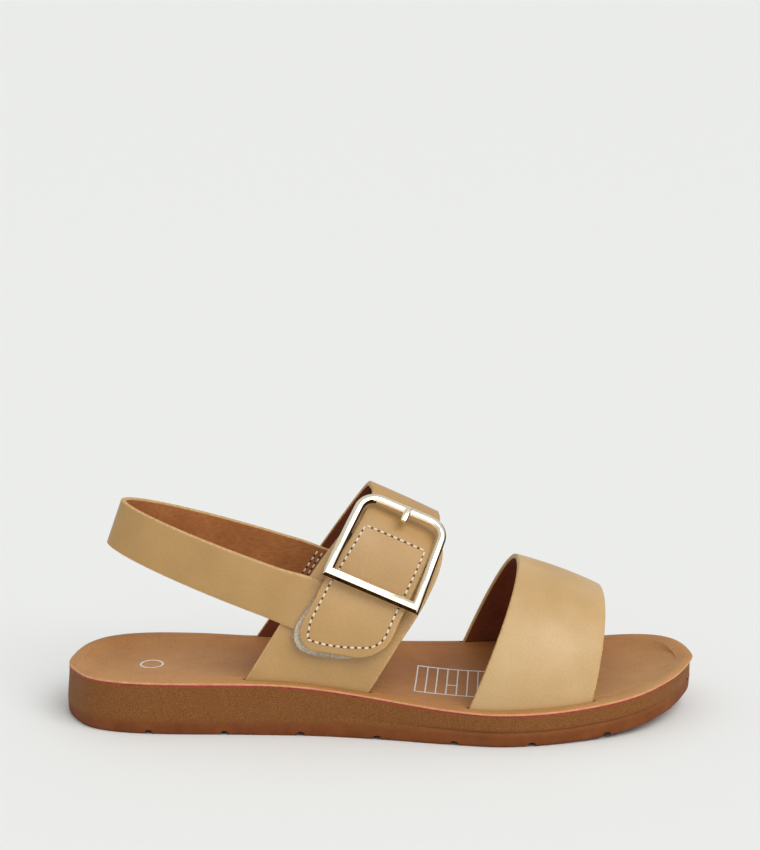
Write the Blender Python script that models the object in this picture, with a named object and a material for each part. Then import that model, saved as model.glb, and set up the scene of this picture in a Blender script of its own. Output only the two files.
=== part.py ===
"""A right slingback sandal, as the solids that a shoemaker puts together.

Metres, +X to the toe, +Y to the inner side of the foot, +Z up. The sole stands on z = 0, and the
origin lies under the middle of its plan. The outer side, with the buckle, is at -Y.
"""

from collections import namedtuple
from math import acos, cos, pi, radians, sin

import bmesh
import bpy
from mathutils import Vector

# Sole, one moulded unit
LENGTH = 0.252
BALL_WIDTH = 0.0925
HEEL_WIDTH = 0.064
HEEL_THICKNESS = 0.0193
FORE_THICKNESS = 0.0117
SLOPE_START = -0.050
SLOPE_END = 0.045
TOE_SPRING = 0.0070
SPRING_START = 0.058
BOTTOM_INSET = 0.0030
GROOVES = 7
GROOVE_PITCH = 0.0298
GROOVE_MIDDLE = -0.0012
GROOVE_MOUTH = 0.0040
GROOVE_ROOF = 0.0023
GROOVE_DEPTH = 0.0018

# Insole board and moulded footbed
BOARD_THICKNESS = 0.0007
EDGE_THICKNESS = 0.0005
RIM_HEIGHT = 0.0007
RIM_INSET = 0.0060
DISH_DEPTH = 0.0016
ARCH_LIFT = 0.0015
ARCH_MIDDLE = -0.016
ARCH_REACH = 0.050
MEDIAL_RIM = 0.0018
MEDIAL_RIM_START = 4.0

# Straps
STRAP_WALL = 0.0020
STRAP_INSET = 0.0032
FRONT_HEIGHT = 0.0605
INSTEP_HEIGHT = 0.0915
SEAM_BITE = 0.0003
TAB_CORNER = 0.0120
PATCH_SHOW = 0.0016
PATCH_FRONT_INSET = 0.0050

# Sling round the heel
SLING_WIDTH = 0.0206
SLING_TAPER = 0.08
SLING_TILT = radians(19.3)
SLING_LATERAL_X = -0.0300
SLING_LATERAL_Z = 0.0521
SLING_MEDIAL_X = -0.0290
SLING_MEDIAL_Z = 0.0536
SLING_REACH = 0.0795
SLING_POWER = 1.80
SLING_LATERAL_LAP = 0.0140
SLING_MEDIAL_LAP = 0.0055
SLING_SETTLE = 0.0140

# Buckle, a curved slide with a hidden middle bar
BUCKLE_WIDTH = 0.0404
BUCKLE_HEAD_WIDTH = 0.0380
BUCKLE_HEIGHT = 0.0400
BUCKLE_CORNER = 0.0090
BUCKLE_THICKNESS = 0.0030
BUCKLE_BEVEL = 0.0007
BUCKLE_CURVE = 0.0650
SIDE_BAR = 0.0036
FOOT_BAR = 0.0044
MIDDLE_BAR = 0.0030
MIDDLE_BAR_THICKNESS = 0.0013
PRONG_WIDTH = 0.0026
PRONG_LENGTH = 0.0068
PRONG_PLACE = 0.0008
PRONG_RISE = 0.0006
BUCKLE_FOOT_PLAY = 0.0018
BUCKLE_HEAD_PLAY = 0.0034
MIDDLE_BAR_PLAY = 0.0010

# Clearance between pieces that touch, and how far a cutter runs past what it cuts
GAP = 0.0003
OVERCUT = 0.0020

# Fineness of the meshes
RIBS = 40
ARCH_STEPS = 36
ACROSS_STEPS = 6
SLING_STEPS = 26
CORNER_STEPS = 6

Outline = namedtuple("Outline", "along lateral medial")
OUTLINE = (
    # along is a share of the length from the heel, each side a share of the local half width
    Outline(0.000, 0.07, -0.07),
    Outline(0.012, 0.39, 0.46),
    Outline(0.044, 0.75, 0.81),
    Outline(0.103, 0.95, 0.98),
    Outline(0.200, 1.02, 0.96),
    Outline(0.300, 0.99, 0.79),
    Outline(0.400, 0.93, 0.75),
    Outline(0.500, 0.93, 0.81),
    Outline(0.600, 0.98, 0.92),
    Outline(0.700, 1.02, 1.00),
    Outline(0.800, 0.91, 1.03),
    Outline(0.900, 0.68, 0.97),
    Outline(0.957, 0.38, 0.79),
    Outline(0.989, 0.06, 0.51),
    Outline(1.000, -0.16, 0.16),
)
WAIST_START = 0.20
BALL_START = 0.70

Wall = namedtuple("Wall", "height inset")
SOLE_WALL = (
    # height is a share of the local thickness, inset a share of the bottom inset
    Wall(1.00, 0.00),
    Wall(0.52, 0.02),
    Wall(0.28, 0.07),
    Wall(0.08, 0.18),
    Wall(0.00, 0.48),
)

Bed = namedtuple("Bed", "inset height")
BED_EDGE = (
    # inset is a share of the rim inset, height a share of the rim height
    Bed(0.00, 0.00),
    Bed(0.10, 0.40),
    Bed(0.45, 0.92),
    Bed(1.00, 1.00),
)
BED_COLUMNS = (-0.72, -0.38, 0.00, 0.38, 0.72)

Edge = namedtuple("Edge", "across foot_x crown_x crown_y crown_z lateral_power medial_power")
FRONT_EDGES = (
    # x is a share of the length, y of the ball width, z of the strap's height
    Edge(0.0, 0.137, 0.217, 0.045, 1.000, 2.05, 2.30),
    Edge(0.5, 0.231, 0.290, 0.045, 0.897, 2.12, 2.30),
    Edge(1.0, 0.325, 0.353, 0.045, 0.777, 2.20, 2.30),
)
INSTEP_EDGES = (
    Edge(0.0, -0.208, -0.019, 0.060, 1.000, 2.00, 2.35),
    Edge(0.5, -0.112, 0.036, 0.060, 0.932, 2.00, 2.35),
    Edge(1.0, -0.016, 0.091, 0.060, 0.858, 2.00, 2.35),
)

Row = namedtuple("Row", "turn rear front lift")
QUARTER_ROWS = (
    # turn runs from 0 at the outer foot of the arch to 1 at the inner, rear and front are shares
    # of the arch's width, and lift is the inner face's height over it in strap walls
    Row(0.00, 0.00, 1.00, 0.00),
    Row(0.10, -0.03, 1.07, 0.00),
    Row(0.20, -0.05, 1.16, 0.00),
    Row(0.30, 0.00, 1.19, 0.00),
    Row(0.39, 0.10, 1.10, 0.00),
)
STRAP_ROWS = (
    Row(0.063, 0.175, 1.01, 2.50),
    Row(0.145, 0.140, 1.01, 2.50),
    Row(0.183, 0.120, 1.02, 2.30),
    Row(0.280, 0.120, 1.04, 2.35),
    Row(0.378, 0.110, 1.03, 1.20),
    Row(0.420, 0.080, 1.01, 1.05),
    Row(0.500, 0.000, 1.00, 0.00),
    Row(1.000, 0.000, 1.00, 0.00),
)
FRONT_ROWS = (
    Row(0.00, 0.00, 1.00, 0.00),
    Row(1.00, 0.00, 1.00, 0.00),
)
PATCH_TOP = 0.160
PATCH_STEP_START = 0.50
PATCH_STEP_WIDTH = 0.08
BUCKLE_FOOT_TURN = 0.183
BUCKLE_HEAD_TURN = 0.378
BUCKLE_FOOT_ACROSS = 0.625
BUCKLE_HEAD_ACROSS = 0.555

MATERIALS = {
    "sole": ((0.23, 0.12, 0.06, 1.0), 0.60, 0.0),
    "board": ((0.30, 0.05, 0.03, 1.0), 0.60, 0.0),
    "footbed": ((0.38, 0.20, 0.10, 1.0), 0.50, 0.0),
    "leather": ((0.55, 0.35, 0.16, 1.0), 0.45, 0.0),
    "tape": ((0.50, 0.45, 0.38, 1.0), 0.90, 0.0),
    "metal": ((0.90, 0.78, 0.55, 1.0), 0.15, 1.0),
}


def smoothstep(share):
    share = min(1.0, max(0.0, share))
    return share * share * (3 - 2 * share)


def turn_of(along):
    """The angle of a share of the length, which spaces the ribs closely at heel and toe."""
    return acos(max(-1.0, min(1.0, 1 - 2 * along)))


def read_curve(rows, column, at, place=lambda row: row[0]):
    """Read a column at a place along a smooth curve through the table's rows."""
    places = [place(row) for row in rows]
    values = [getattr(row, column) for row in rows]
    last = len(rows) - 1
    step = max(i for i in range(last) if i == 0 or places[i] <= at)

    def slope(i):
        low, high = max(i - 1, 0), min(i + 1, last)
        return (values[high] - values[low]) / (places[high] - places[low])

    span = places[step + 1] - places[step]
    share = min(1.0, max(0.0, (at - places[step]) / span))
    rise = values[step + 1] - values[step]
    start = slope(step) * span
    finish = slope(step + 1) * span
    square = 3 * rise - 2 * start - finish
    cube = start + finish - 2 * rise
    return values[step] + share * (start + share * (square + share * cube))


def read_parabola(rows, column, across):
    """Read a column between the three edges of a strap, at 0, 0.5 and 1 across it."""
    rear, middle, front = (getattr(row, column) for row in rows)
    bend = 2 * rear - 4 * middle + 2 * front
    return rear + across * (front - rear - bend) + across * across * bend


# Plan and side view of the sole

def half_width(x):
    along = 0.5 + x / LENGTH
    blend = smoothstep((along - WAIST_START) / (BALL_START - WAIST_START))
    return (HEEL_WIDTH + (BALL_WIDTH - HEEL_WIDTH) * blend) / 2


def plan_point(turn, side, inset=0.0):
    """A point of the plan's outline, on the lateral or the medial side, moved inwards."""
    half = half_width(-LENGTH / 2 * cos(turn))
    share = read_curve(OUTLINE, side, turn, lambda row: turn_of(row.along))
    sign = -1 if side == "lateral" else 1
    x = -(LENGTH / 2 - inset) * cos(turn)
    return x, sign * share * (half - inset)


def side_y(x, side, inset):
    turn = acos(max(-1.0, min(1.0, -x / (LENGTH / 2 - inset))))
    return plan_point(turn, side, inset)[1]


def ground(x):
    past = max(0.0, x - SPRING_START) / (LENGTH / 2 - SPRING_START)
    return TOE_SPRING * past * past


def sole_thickness(x):
    slope = smoothstep((x - SLOPE_START) / (SLOPE_END - SLOPE_START))
    return HEEL_THICKNESS + (FORE_THICKNESS - HEEL_THICKNESS) * slope


def sole_top(x):
    return ground(x) + sole_thickness(x)


def board_bottom(x):
    return sole_top(x) + GAP


def board_top(x):
    return board_bottom(x) + BOARD_THICKNESS


def bed_bottom(x):
    return board_top(x) + GAP


def rim_top(x):
    return bed_bottom(x) + EDGE_THICKNESS + RIM_HEIGHT


# Meshes and objects

def material_for(name):
    material = bpy.data.materials.get(name)
    if material is None:
        colour, roughness, metallic = MATERIALS[name]
        material = bpy.data.materials.new(name)
        material.use_nodes = True
        shader = material.node_tree.nodes["Principled BSDF"]
        shader.inputs["Base Color"].default_value = colour
        shader.inputs["Roughness"].default_value = roughness
        shader.inputs["Metallic"].default_value = metallic
    return material


def add_object(name, mesh_faces, points, material=None):
    """Make one closed object from points and faces, with doubled points merged."""
    mesh = bmesh.new()
    corners = [mesh.verts.new(point) for point in points]
    for face in mesh_faces:
        mesh.faces.new([corners[i] for i in face])
    bmesh.ops.remove_doubles(mesh, verts=mesh.verts, dist=1e-6)
    bmesh.ops.dissolve_degenerate(mesh, edges=mesh.edges, dist=1e-6)
    bmesh.ops.triangulate(mesh, faces=mesh.faces)
    bmesh.ops.recalc_face_normals(mesh, faces=mesh.faces)
    data = bpy.data.meshes.new(name)
    mesh.to_mesh(data)
    mesh.free()
    piece = bpy.data.objects.new(name, data)
    bpy.context.collection.objects.link(piece)
    if material:
        data.materials.append(material_for(material))
        data.shade_smooth()
        data.set_sharp_from_angle(angle=radians(35))
    return piece


def loft(name, rings, material=None, capped=False, closed=False):
    """Skin rings of points that follow each other, with caps or as a closed loop."""
    count = len(rings[0])
    points = [point for ring in rings for point in ring]
    faces = []
    for i in range(len(rings) if closed else len(rings) - 1):
        here, there = i * count, (i + 1) % len(rings) * count
        for j in range(count):
            k = (j + 1) % count
            faces.append((here + j, here + k, there + k, there + j))
    if capped:
        faces.append(tuple(range(count)))
        faces.append(tuple(range(len(points) - count, len(points))))
    return add_object(name, faces, points, material)


def slab(name, inner, outer, material=None):
    """A wall between two grids of points, closed round its border."""
    rings = []
    for low, high in zip(inner, outer):
        rings.append(list(low) + list(reversed(high)))
    width = len(inner[0])
    count = 2 * width
    points = [point for ring in rings for point in ring]
    faces = []
    for i in range(len(rings) - 1):
        for j in range(count):
            k = (j + 1) % count
            faces.append((i * count + j, i * count + k, (i + 1) * count + k, (i + 1) * count + j))
    for start in (0, len(points) - count):
        for j in range(width - 1):
            faces.append((start + j, start + j + 1, start + count - 2 - j, start + count - 1 - j))
    return add_object(name, faces, points, material)


def boolean(piece, other, operation):
    """Cut or join a helper into a piece, and keep the helper out of the model."""
    modifier = piece.modifiers.new(operation.lower() + "_" + other.name, "BOOLEAN")
    modifier.operation = operation
    modifier.solver = "EXACT"
    modifier.object = other
    other.hide_render = True
    other.display_type = "WIRE"


# Sole, board and footbed

def rib_turns():
    return [pi * i / RIBS for i in range(RIBS + 1)]


def make_sole():
    rings = []
    for turn in rib_turns():
        walls = {}
        for side in ("lateral", "medial"):
            walls[side] = []
            for row in SOLE_WALL:
                x, y = plan_point(turn, side, row.inset * BOTTOM_INSET)
                walls[side].append(Vector((x, y, ground(x) + row.height * sole_thickness(x))))
        rings.append(layer_points(turn, sole_top) + walls["medial"][1:] + walls["lateral"][:0:-1])
    sole = loft("sole", rings, "sole")
    for i in range(GROOVES):
        x = GROOVE_MIDDLE + (i - (GROOVES - 1) / 2) * GROOVE_PITCH
        boolean(sole, groove_cutter(i, x), "DIFFERENCE")
    return sole


def groove_cutter(number, x):
    """A bar across the tread, wider at its mouth, square to the ground line where it cuts."""
    slope = (ground(x + GROOVE_MOUTH) - ground(x - GROOVE_MOUTH)) / (2 * GROOVE_MOUTH)
    flare = (GROOVE_MOUTH - GROOVE_ROOF) / 2 / GROOVE_DEPTH
    profile = []
    for height, sign in ((-OVERCUT, -1), (-OVERCUT, 1), (GROOVE_DEPTH, 1), (GROOVE_DEPTH, -1)):
        half = GROOVE_ROOF / 2 + (GROOVE_DEPTH - height) * flare
        profile.append((x + sign * half - slope * height, ground(x) + height + slope * sign * half))
    rings = []
    for y in (-BALL_WIDTH, BALL_WIDTH):
        rings.append([Vector((px, y, pz)) for px, pz in profile])
    return loft("groove_cutter_%d" % number, rings, capped=True)


def inner_points(turn, height):
    """Points across a layer inside its rim, dished, with the arch raised on the inner side."""
    x, lateral = plan_point(turn, "lateral", RIM_INSET)
    medial = plan_point(turn, "medial", RIM_INSET)[1]
    points = []
    for column in BED_COLUMNS:
        y = (lateral + medial) / 2 + column * (medial - lateral) / 2
        dish = DISH_DEPTH * (1 - column * column) * min(1.0, 2 * sin(turn))
        arch = ARCH_LIFT * smoothstep(1 - abs(x - ARCH_MIDDLE) / ARCH_REACH) * smoothstep(column)
        points.append(Vector((x, y, height(x) - dish + arch * (1 - column * column))))
    return points


def level_edge(turn, side, height):
    """The edge of a layer and the place where its dish begins, from the outside in."""
    points = []
    for inset in (0.0, RIM_INSET):
        x, y = plan_point(turn, side, inset)
        points.append(Vector((x, y, height(x))))
    return points


def layer_points(turn, height):
    """Points across a layer from the lateral edge to the medial."""
    return level_edge(turn, "lateral", height) + inner_points(turn, height) \
        + level_edge(turn, "medial", height)[::-1]


def make_board():
    rings = []
    for turn in rib_turns():
        low = layer_points(turn, board_bottom)
        high = layer_points(turn, board_top)
        rings.append(low + high[::-1])
    return loft("insole_board", rings, "board")


def medial_rim(turn):
    """The extra height of the rim along the inner side, which fades at the heel and the toe."""
    return MEDIAL_RIM * smoothstep(MEDIAL_RIM_START * turn) * smoothstep(MEDIAL_RIM_START * (pi - turn))


def make_footbed():
    rings = []
    for turn in rib_turns():
        edges = {}
        for side in ("lateral", "medial"):
            edges[side] = []
            for row in BED_EDGE:
                x, y = plan_point(turn, side, row.inset * RIM_INSET)
                height = RIM_HEIGHT + (medial_rim(turn) if side == "medial" else 0.0)
                z = bed_bottom(x) + EDGE_THICKNESS + row.height * height
                edges[side].append(Vector((x, y, z)))
        high = edges["lateral"] + inner_points(turn, rim_top) + edges["medial"][::-1]
        rings.append(layer_points(turn, bed_bottom) + high[::-1])
    return loft("footbed", rings, "footbed")


# Arches of the straps

def arch_foot(edges, across, side):
    """The inner face's foot at the rim."""
    x = read_parabola(edges, "foot_x", across) * LENGTH
    return Vector((x, side_y(x, side, STRAP_INSET + STRAP_WALL), rim_top(x)))


def arch_crown(edges, height, across):
    return Vector((read_parabola(edges, "crown_x", across) * LENGTH,
                   read_parabola(edges, "crown_y", across) * BALL_WIDTH,
                   read_parabola(edges, "crown_z", across) * height))


def arch_base(arch, turn, across):
    """A point of the form that a strap is pulled over, on a superellipse from foot to foot."""
    edges, height = arch
    side = "lateral" if turn < 0.5 else "medial"
    power = read_parabola(edges, side + "_power", across)
    foot = arch_foot(edges, across, side)
    crown = arch_crown(edges, height, across)
    angle = pi * min(1.0, max(0.0, turn))
    rise = abs(sin(angle)) ** (2 / power)
    reach = abs(cos(angle)) ** (2 / power)
    return Vector((foot.x + (crown.x - foot.x) * rise,
                   crown.y + (foot.y - crown.y) * reach,
                   foot.z + (crown.z - foot.z) * rise))


def arch_point(arch, turn, across, lift):
    """A point at a height over the form, square to it."""
    step = 0.004
    base = arch_base(arch, turn, across)
    along = arch_base(arch, min(1.0, turn + step), across) \
        - arch_base(arch, max(0.0, turn - step), across)
    sideways = arch_base(arch, turn, across + step) - arch_base(arch, turn, across - step)
    return base + lift * sideways.cross(along).normalized()


def foot_point(arch, side, across, lift, drop):
    """A point below the rim, where the strap runs on straight down into its slot."""
    edges, height = arch
    turn = 0.0 if side == "lateral" else 1.0
    rim = arch_point(arch, turn, across, lift)
    foot = arch_foot(edges, across, side)
    crown = arch_crown(edges, height, across)
    lean = (crown.x - foot.x) / (crown.z - foot.z)
    return rim - drop * Vector((lean, 0, 1))


def foot_end(arch, side, across, lift):
    """The strap's end in its slot, just above the sole."""
    drop = 0.0
    for _ in range(4):
        point = foot_point(arch, side, across, lift, drop)
        drop += point.z - sole_top(point.x) - GAP
    return foot_point(arch, side, across, lift, drop)


def spread(count):
    return [i / count for i in range(count + 1)]


def strap_row(arch, rows, turn, layer, cut=0.0):
    """One row of points across a strap; layer counts heights from the strap's inner face."""
    rear = read_curve(rows, "rear", turn) + cut
    front = read_curve(rows, "front", turn) - cut
    lift = read_curve(rows, "lift", turn) * STRAP_WALL + layer
    return [arch_point(arch, turn, rear + (front - rear) * share, lift)
            for share in spread(ACROSS_STEPS)]


def end_row(arch, side, layer):
    return [foot_end(arch, side, share, layer) for share in spread(ACROSS_STEPS)]


def make_front_strap():
    arch = (FRONT_EDGES, FRONT_HEIGHT)
    walls = []
    for layer in (0.0, STRAP_WALL):
        grid = [end_row(arch, "lateral", layer)]
        grid += [strap_row(arch, FRONT_ROWS, turn, layer) for turn in spread(ARCH_STEPS)]
        grid.append(end_row(arch, "medial", layer))
        walls.append(grid)
    return slab("front_strap", walls[0], walls[1], "leather")


def arch_scale(arch, turn):
    """Lengths of one whole turn and one whole width, near the middle of a strap's row."""
    step = 0.01
    turned = arch_base(arch, turn + step, 0.5) - arch_base(arch, turn - step, 0.5)
    crossed = arch_base(arch, turn, 1.0) - arch_base(arch, turn, 0.0)
    return turned.length / (2 * step), crossed.length


def rounded_rows(arch, end_turn, grow=0.0):
    """Turns and side cuts that round the corners of a strap's free end."""
    turned, crossed = arch_scale(arch, end_turn)
    rows = []
    for i in range(CORNER_STEPS + 1):
        swing = pi / 2 * i / CORNER_STEPS
        cut = TAB_CORNER * (1 - sin(swing))
        distance = TAB_CORNER * (1 - cos(swing))
        rows.append((end_turn + (distance - grow) / turned, (cut - grow) / crossed))
    return rows


def make_upper():
    """Outer quarter, instep strap with its tab, and sling, sewn into one."""
    arch = (INSTEP_EDGES, INSTEP_HEIGHT)
    tab = rounded_rows(arch, STRAP_ROWS[0].turn)
    start = tab[-1][0]
    turns = [start + (1 - start) * share for share in spread(ARCH_STEPS)][1:]
    walls = []
    for layer in (0.0, STRAP_WALL):
        grid = [strap_row(arch, STRAP_ROWS, turn, layer, cut) for turn, cut in tab]
        grid += [strap_row(arch, STRAP_ROWS, turn, layer) for turn in turns]
        grid.append(end_row(arch, "medial", layer))
        walls.append(grid)
    upper = slab("upper", walls[0], walls[1], "leather")

    top = QUARTER_ROWS[-1].turn
    walls = []
    for layer in (0.0, STRAP_WALL):
        grid = [end_row(arch, "lateral", layer)]
        grid += [strap_row(arch, QUARTER_ROWS, top * share, layer)
                 for share in spread(ARCH_STEPS // 2)]
        walls.append(grid)
    boolean(upper, slab("quarter_helper", walls[0], walls[1]), "UNION")
    boolean(upper, make_sling(arch), "UNION")
    return upper


def wall_point(arch, x, z, side, lift):
    """The point of a strap's wall at a given x and z, found by stepping towards it."""
    turn, across = (0.18, 0.2) if side == "lateral" else (0.82, 0.2)
    step = 0.002
    for _ in range(8):
        here = arch_point(arch, turn, across, lift)
        by_turn = (arch_point(arch, turn + step, across, lift) - here) / step
        by_across = (arch_point(arch, turn, across + step, lift) - here) / step
        miss_x, miss_z = x - here.x, z - here.z
        scale = by_turn.x * by_across.z - by_turn.z * by_across.x
        turn += (miss_x * by_across.z - miss_z * by_across.x) / scale
        across += (by_turn.x * miss_z - by_turn.z * miss_x) / scale
    return arch_point(arch, turn, across, lift)


def sling_stations():
    """Places along the sling: its two sewn laps and the loop between them."""
    lap_shares = (0.33, 0.66, 1.0)
    stations = [("lateral", -SLING_LATERAL_LAP * share) for share in reversed(lap_shares)]
    stations += [("loop", pi * share) for share in spread(SLING_STEPS)]
    stations += [("medial", -SLING_MEDIAL_LAP * share) for share in lap_shares]
    return stations


def make_sling(arch):
    """A flat band in a tilted plane, whose ends follow the walls that they are sewn to."""
    lateral_lifts = (STRAP_WALL - SEAM_BITE, 2 * STRAP_WALL - SEAM_BITE)
    medial_lifts = (SEAM_BITE - STRAP_WALL, SEAM_BITE)
    lateral = wall_point(arch, SLING_LATERAL_X, SLING_LATERAL_Z, "lateral", sum(lateral_lifts) / 2)
    medial = wall_point(arch, SLING_MEDIAL_X, SLING_MEDIAL_Z, "medial", sum(medial_lifts) / 2)
    back = Vector((-cos(SLING_TILT), 0, sin(SLING_TILT)))
    rise = Vector((sin(SLING_TILT), 0, cos(SLING_TILT)))
    middle = (lateral + medial) / 2
    half = (medial - lateral) / 2
    inner, outer = [], []
    for kind, place in sling_stations():
        if kind == "loop":
            reach = SLING_REACH * sin(place) ** (2 / SLING_POWER)
            swing = -abs(cos(place)) ** (2 / SLING_POWER) * (1 if place < pi / 2 else -1)
            normal = loop_normal(place, half.y, back)
        else:
            reach = place
            swing = -1 if kind == "lateral" else 1
            normal = Vector((0, swing, 0))
        line = middle + swing * half + reach * back
        width = SLING_WIDTH * (1 - SLING_TAPER * reach / SLING_REACH)
        side = "lateral" if swing < 0 else "medial"
        lifts = lateral_lifts if side == "lateral" else medial_lifts
        settle = smoothstep(1 - max(0.0, reach) / SLING_SETTLE)
        for grid, layer, lift in ((inner, -0.5, lifts[0]), (outer, 0.5, lifts[1])):
            row = []
            for share in spread(4):
                point = line + (share - 0.5) * width * rise + layer * STRAP_WALL * normal
                if settle > 0:
                    wall = wall_point(arch, point.x, point.z, side, lift)
                    point.y += settle * (wall.y - point.y)
                row.append(point)
            grid.append(row)
    return slab("sling_helper", inner, outer)


def loop_normal(place, half, back):
    """The outward direction of the sling's loop, in its tilted plane."""
    step = 0.01
    ends = []
    for angle in (place - step, place + step):
        angle = min(pi, max(0.0, angle))
        side = 1 if angle < pi / 2 else -1
        reach = SLING_REACH * sin(angle) ** (2 / SLING_POWER)
        ends.append((reach, -side * half * abs(cos(angle)) ** (2 / SLING_POWER)))
    along = (ends[1][0] - ends[0][0]) * back + Vector((0, ends[1][1] - ends[0][1], 0))
    rise = Vector((sin(SLING_TILT), 0, cos(SLING_TILT)))
    return rise.cross(along).normalized()


def make_tape_patch():
    """Hook-and-loop patch between the tab and what lies under it, showing at the tab's edge."""
    arch = (INSTEP_EDGES, INSTEP_HEIGHT)
    tab = rounded_rows(arch, STRAP_ROWS[0].turn, PATCH_SHOW)
    start = tab[-1][0]
    crossed = arch_scale(arch, start)[1]
    steps = ARCH_STEPS // 4
    rows = tab + [(start + (PATCH_TOP - start) * share, -PATCH_SHOW * (1 - share) / crossed)
                  for share in spread(steps)[1:]]
    top = STRAP_ROWS[0].lift * STRAP_WALL - GAP
    inner, outer = [], []
    for turn, cut in rows:
        rear = read_curve(STRAP_ROWS, "rear", turn) + cut
        front = read_curve(STRAP_ROWS, "front", turn) - max(cut, 0.0) - PATCH_FRONT_INSET / crossed
        low, high = [], []
        for share in spread(2 * ACROSS_STEPS):
            across = rear + (front - rear) * share
            step = smoothstep((across - PATCH_STEP_START) / PATCH_STEP_WIDTH)
            floor = 2 * STRAP_WALL - SEAM_BITE + GAP - step * (STRAP_WALL - SEAM_BITE)
            low.append(arch_point(arch, turn, across, floor))
            high.append(arch_point(arch, turn, across, top))
        inner.append(low)
        outer.append(high)
    return slab("tape_patch", inner, outer, "tape")


# Buckle

def buckle_axes():
    """The middle of the buckle, and its directions along the bars, up the strap and outward."""
    arch = (INSTEP_EDGES, INSTEP_HEIGHT)

    def bar_point(turn, across, play):
        lift = (read_curve(STRAP_ROWS, "lift", turn) + 1) * STRAP_WALL
        return arch_point(arch, turn, across, lift + play + BUCKLE_THICKNESS / 2)

    foot = bar_point(BUCKLE_FOOT_TURN, BUCKLE_FOOT_ACROSS, BUCKLE_FOOT_PLAY)
    head = bar_point(BUCKLE_HEAD_TURN, BUCKLE_HEAD_ACROSS, BUCKLE_HEAD_PLAY)
    turn = (BUCKLE_FOOT_TURN + BUCKLE_HEAD_TURN) / 2
    across = (BUCKLE_FOOT_ACROSS + BUCKLE_HEAD_ACROSS) / 2
    up = (head - foot).normalized()
    along = bar_point(turn, across + 0.3, 0) - bar_point(turn, across - 0.3, 0)
    along = (along - along.dot(up) * up).normalized()
    return (foot + head) / 2, along, up, along.cross(up)


def buckle_point(axes, a, b, height):
    """A point of the curved buckle: a along its bars, b up the strap, height outward."""
    middle, along, up, out = axes
    angle = b / BUCKLE_CURVE
    bar = (BUCKLE_HEIGHT - FOOT_BAR) / 2 / BUCKLE_CURVE
    radius = BUCKLE_CURVE + height
    return middle + a * along + radius * sin(angle) * up \
        + (radius * cos(angle) - BUCKLE_CURVE * cos(bar)) * out


def bar_section(width, thickness):
    """Corners of a bevelled bar, as offsets across it and outward."""
    w, t = width / 2, thickness / 2
    bevel = BUCKLE_BEVEL
    return ((w, t - bevel), (w - bevel, t), (bevel - w, t), (-w, t - bevel),
            (-w, bevel - t), (bevel - w, -t), (w - bevel, -t), (w, bevel - t))


def buckle_path():
    """The frame's middle line with its outward directions, square at the foot, round above."""
    side = (BUCKLE_WIDTH - SIDE_BAR) / 2
    head_side = (BUCKLE_HEAD_WIDTH - SIDE_BAR) / 2
    foot = -(BUCKLE_HEIGHT - FOOT_BAR) / 2
    head = (BUCKLE_HEIGHT - SIDE_BAR) / 2
    radius = BUCKLE_CORNER - SIDE_BAR / 2
    path = []
    for a in (-side, side):
        path.append((a, foot, (1 if a > 0 else -1, -1)))
    for centre, start in ((head_side - radius, 0.0), (radius - head_side, pi / 2)):
        for i in range(CORNER_STEPS + 1):
            swing = start + pi / 2 * i / CORNER_STEPS
            path.append((centre + radius * cos(swing), head - radius + radius * sin(swing),
                         (cos(swing), sin(swing))))
    return path


def make_buckle():
    axes = buckle_axes()
    rings = []
    for a, b, (na, nb) in buckle_path():
        ring = []
        for across, height in bar_section(SIDE_BAR, BUCKLE_THICKNESS):
            stretch = FOOT_BAR / SIDE_BAR if nb == -1 else 1.0
            ring.append(buckle_point(axes, a + across * na, b + across * nb * stretch, height))
        rings.append(ring)
    buckle = loft("buckle", rings, "metal", closed=True)
    boolean(buckle, middle_bar(axes), "UNION")
    boolean(buckle, prong_tip(axes), "UNION")
    return buckle


def middle_bar(axes):
    """The bar under the strap, dropped on two posts so that the strap can pass over it."""
    side = (BUCKLE_WIDTH + BUCKLE_HEAD_WIDTH - 2 * SIDE_BAR) / 4
    arch = (INSTEP_EDGES, INSTEP_HEIGHT)
    turn = (BUCKLE_FOOT_TURN + BUCKLE_HEAD_TURN) / 2
    across = (BUCKLE_FOOT_ACROSS + BUCKLE_HEAD_ACROSS) / 2
    seat = arch_point(arch, turn, across, STRAP_WALL + MIDDLE_BAR_PLAY)
    low = (seat - buckle_point(axes, 0, 0, 0)).dot(axes[3])
    outer, inner = side + SIDE_BAR / 4, side - SIDE_BAR / 4
    high = low + MIDDLE_BAR_THICKNESS
    profile = ((-outer, 0), (-outer, low), (outer, low), (outer, 0),
               (inner, 0), (inner, high), (-inner, high), (-inner, 0))
    rings = []
    for b in (-MIDDLE_BAR / 2, MIDDLE_BAR / 2):
        rings.append([buckle_point(axes, a, b, height) for a, height in profile])
    return loft("middle_bar_helper", rings, capped=True)


def prong_tip(axes):
    """The cast tip of a prong, lying over the head bar."""
    head = (BUCKLE_HEIGHT - SIDE_BAR) / 2
    top = BUCKLE_THICKNESS / 2 + PRONG_RISE
    half = PRONG_WIDTH / 2
    rings = []
    for b in (head + SIDE_BAR * 0.4, head + SIDE_BAR * 0.4 - PRONG_LENGTH):
        rings.append([buckle_point(axes, PRONG_PLACE + a, b, height) for a, height in
                      ((-half, 0), (half, 0), (half, top), (-half, top))])
    return loft("prong_helper", rings, capped=True)


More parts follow.
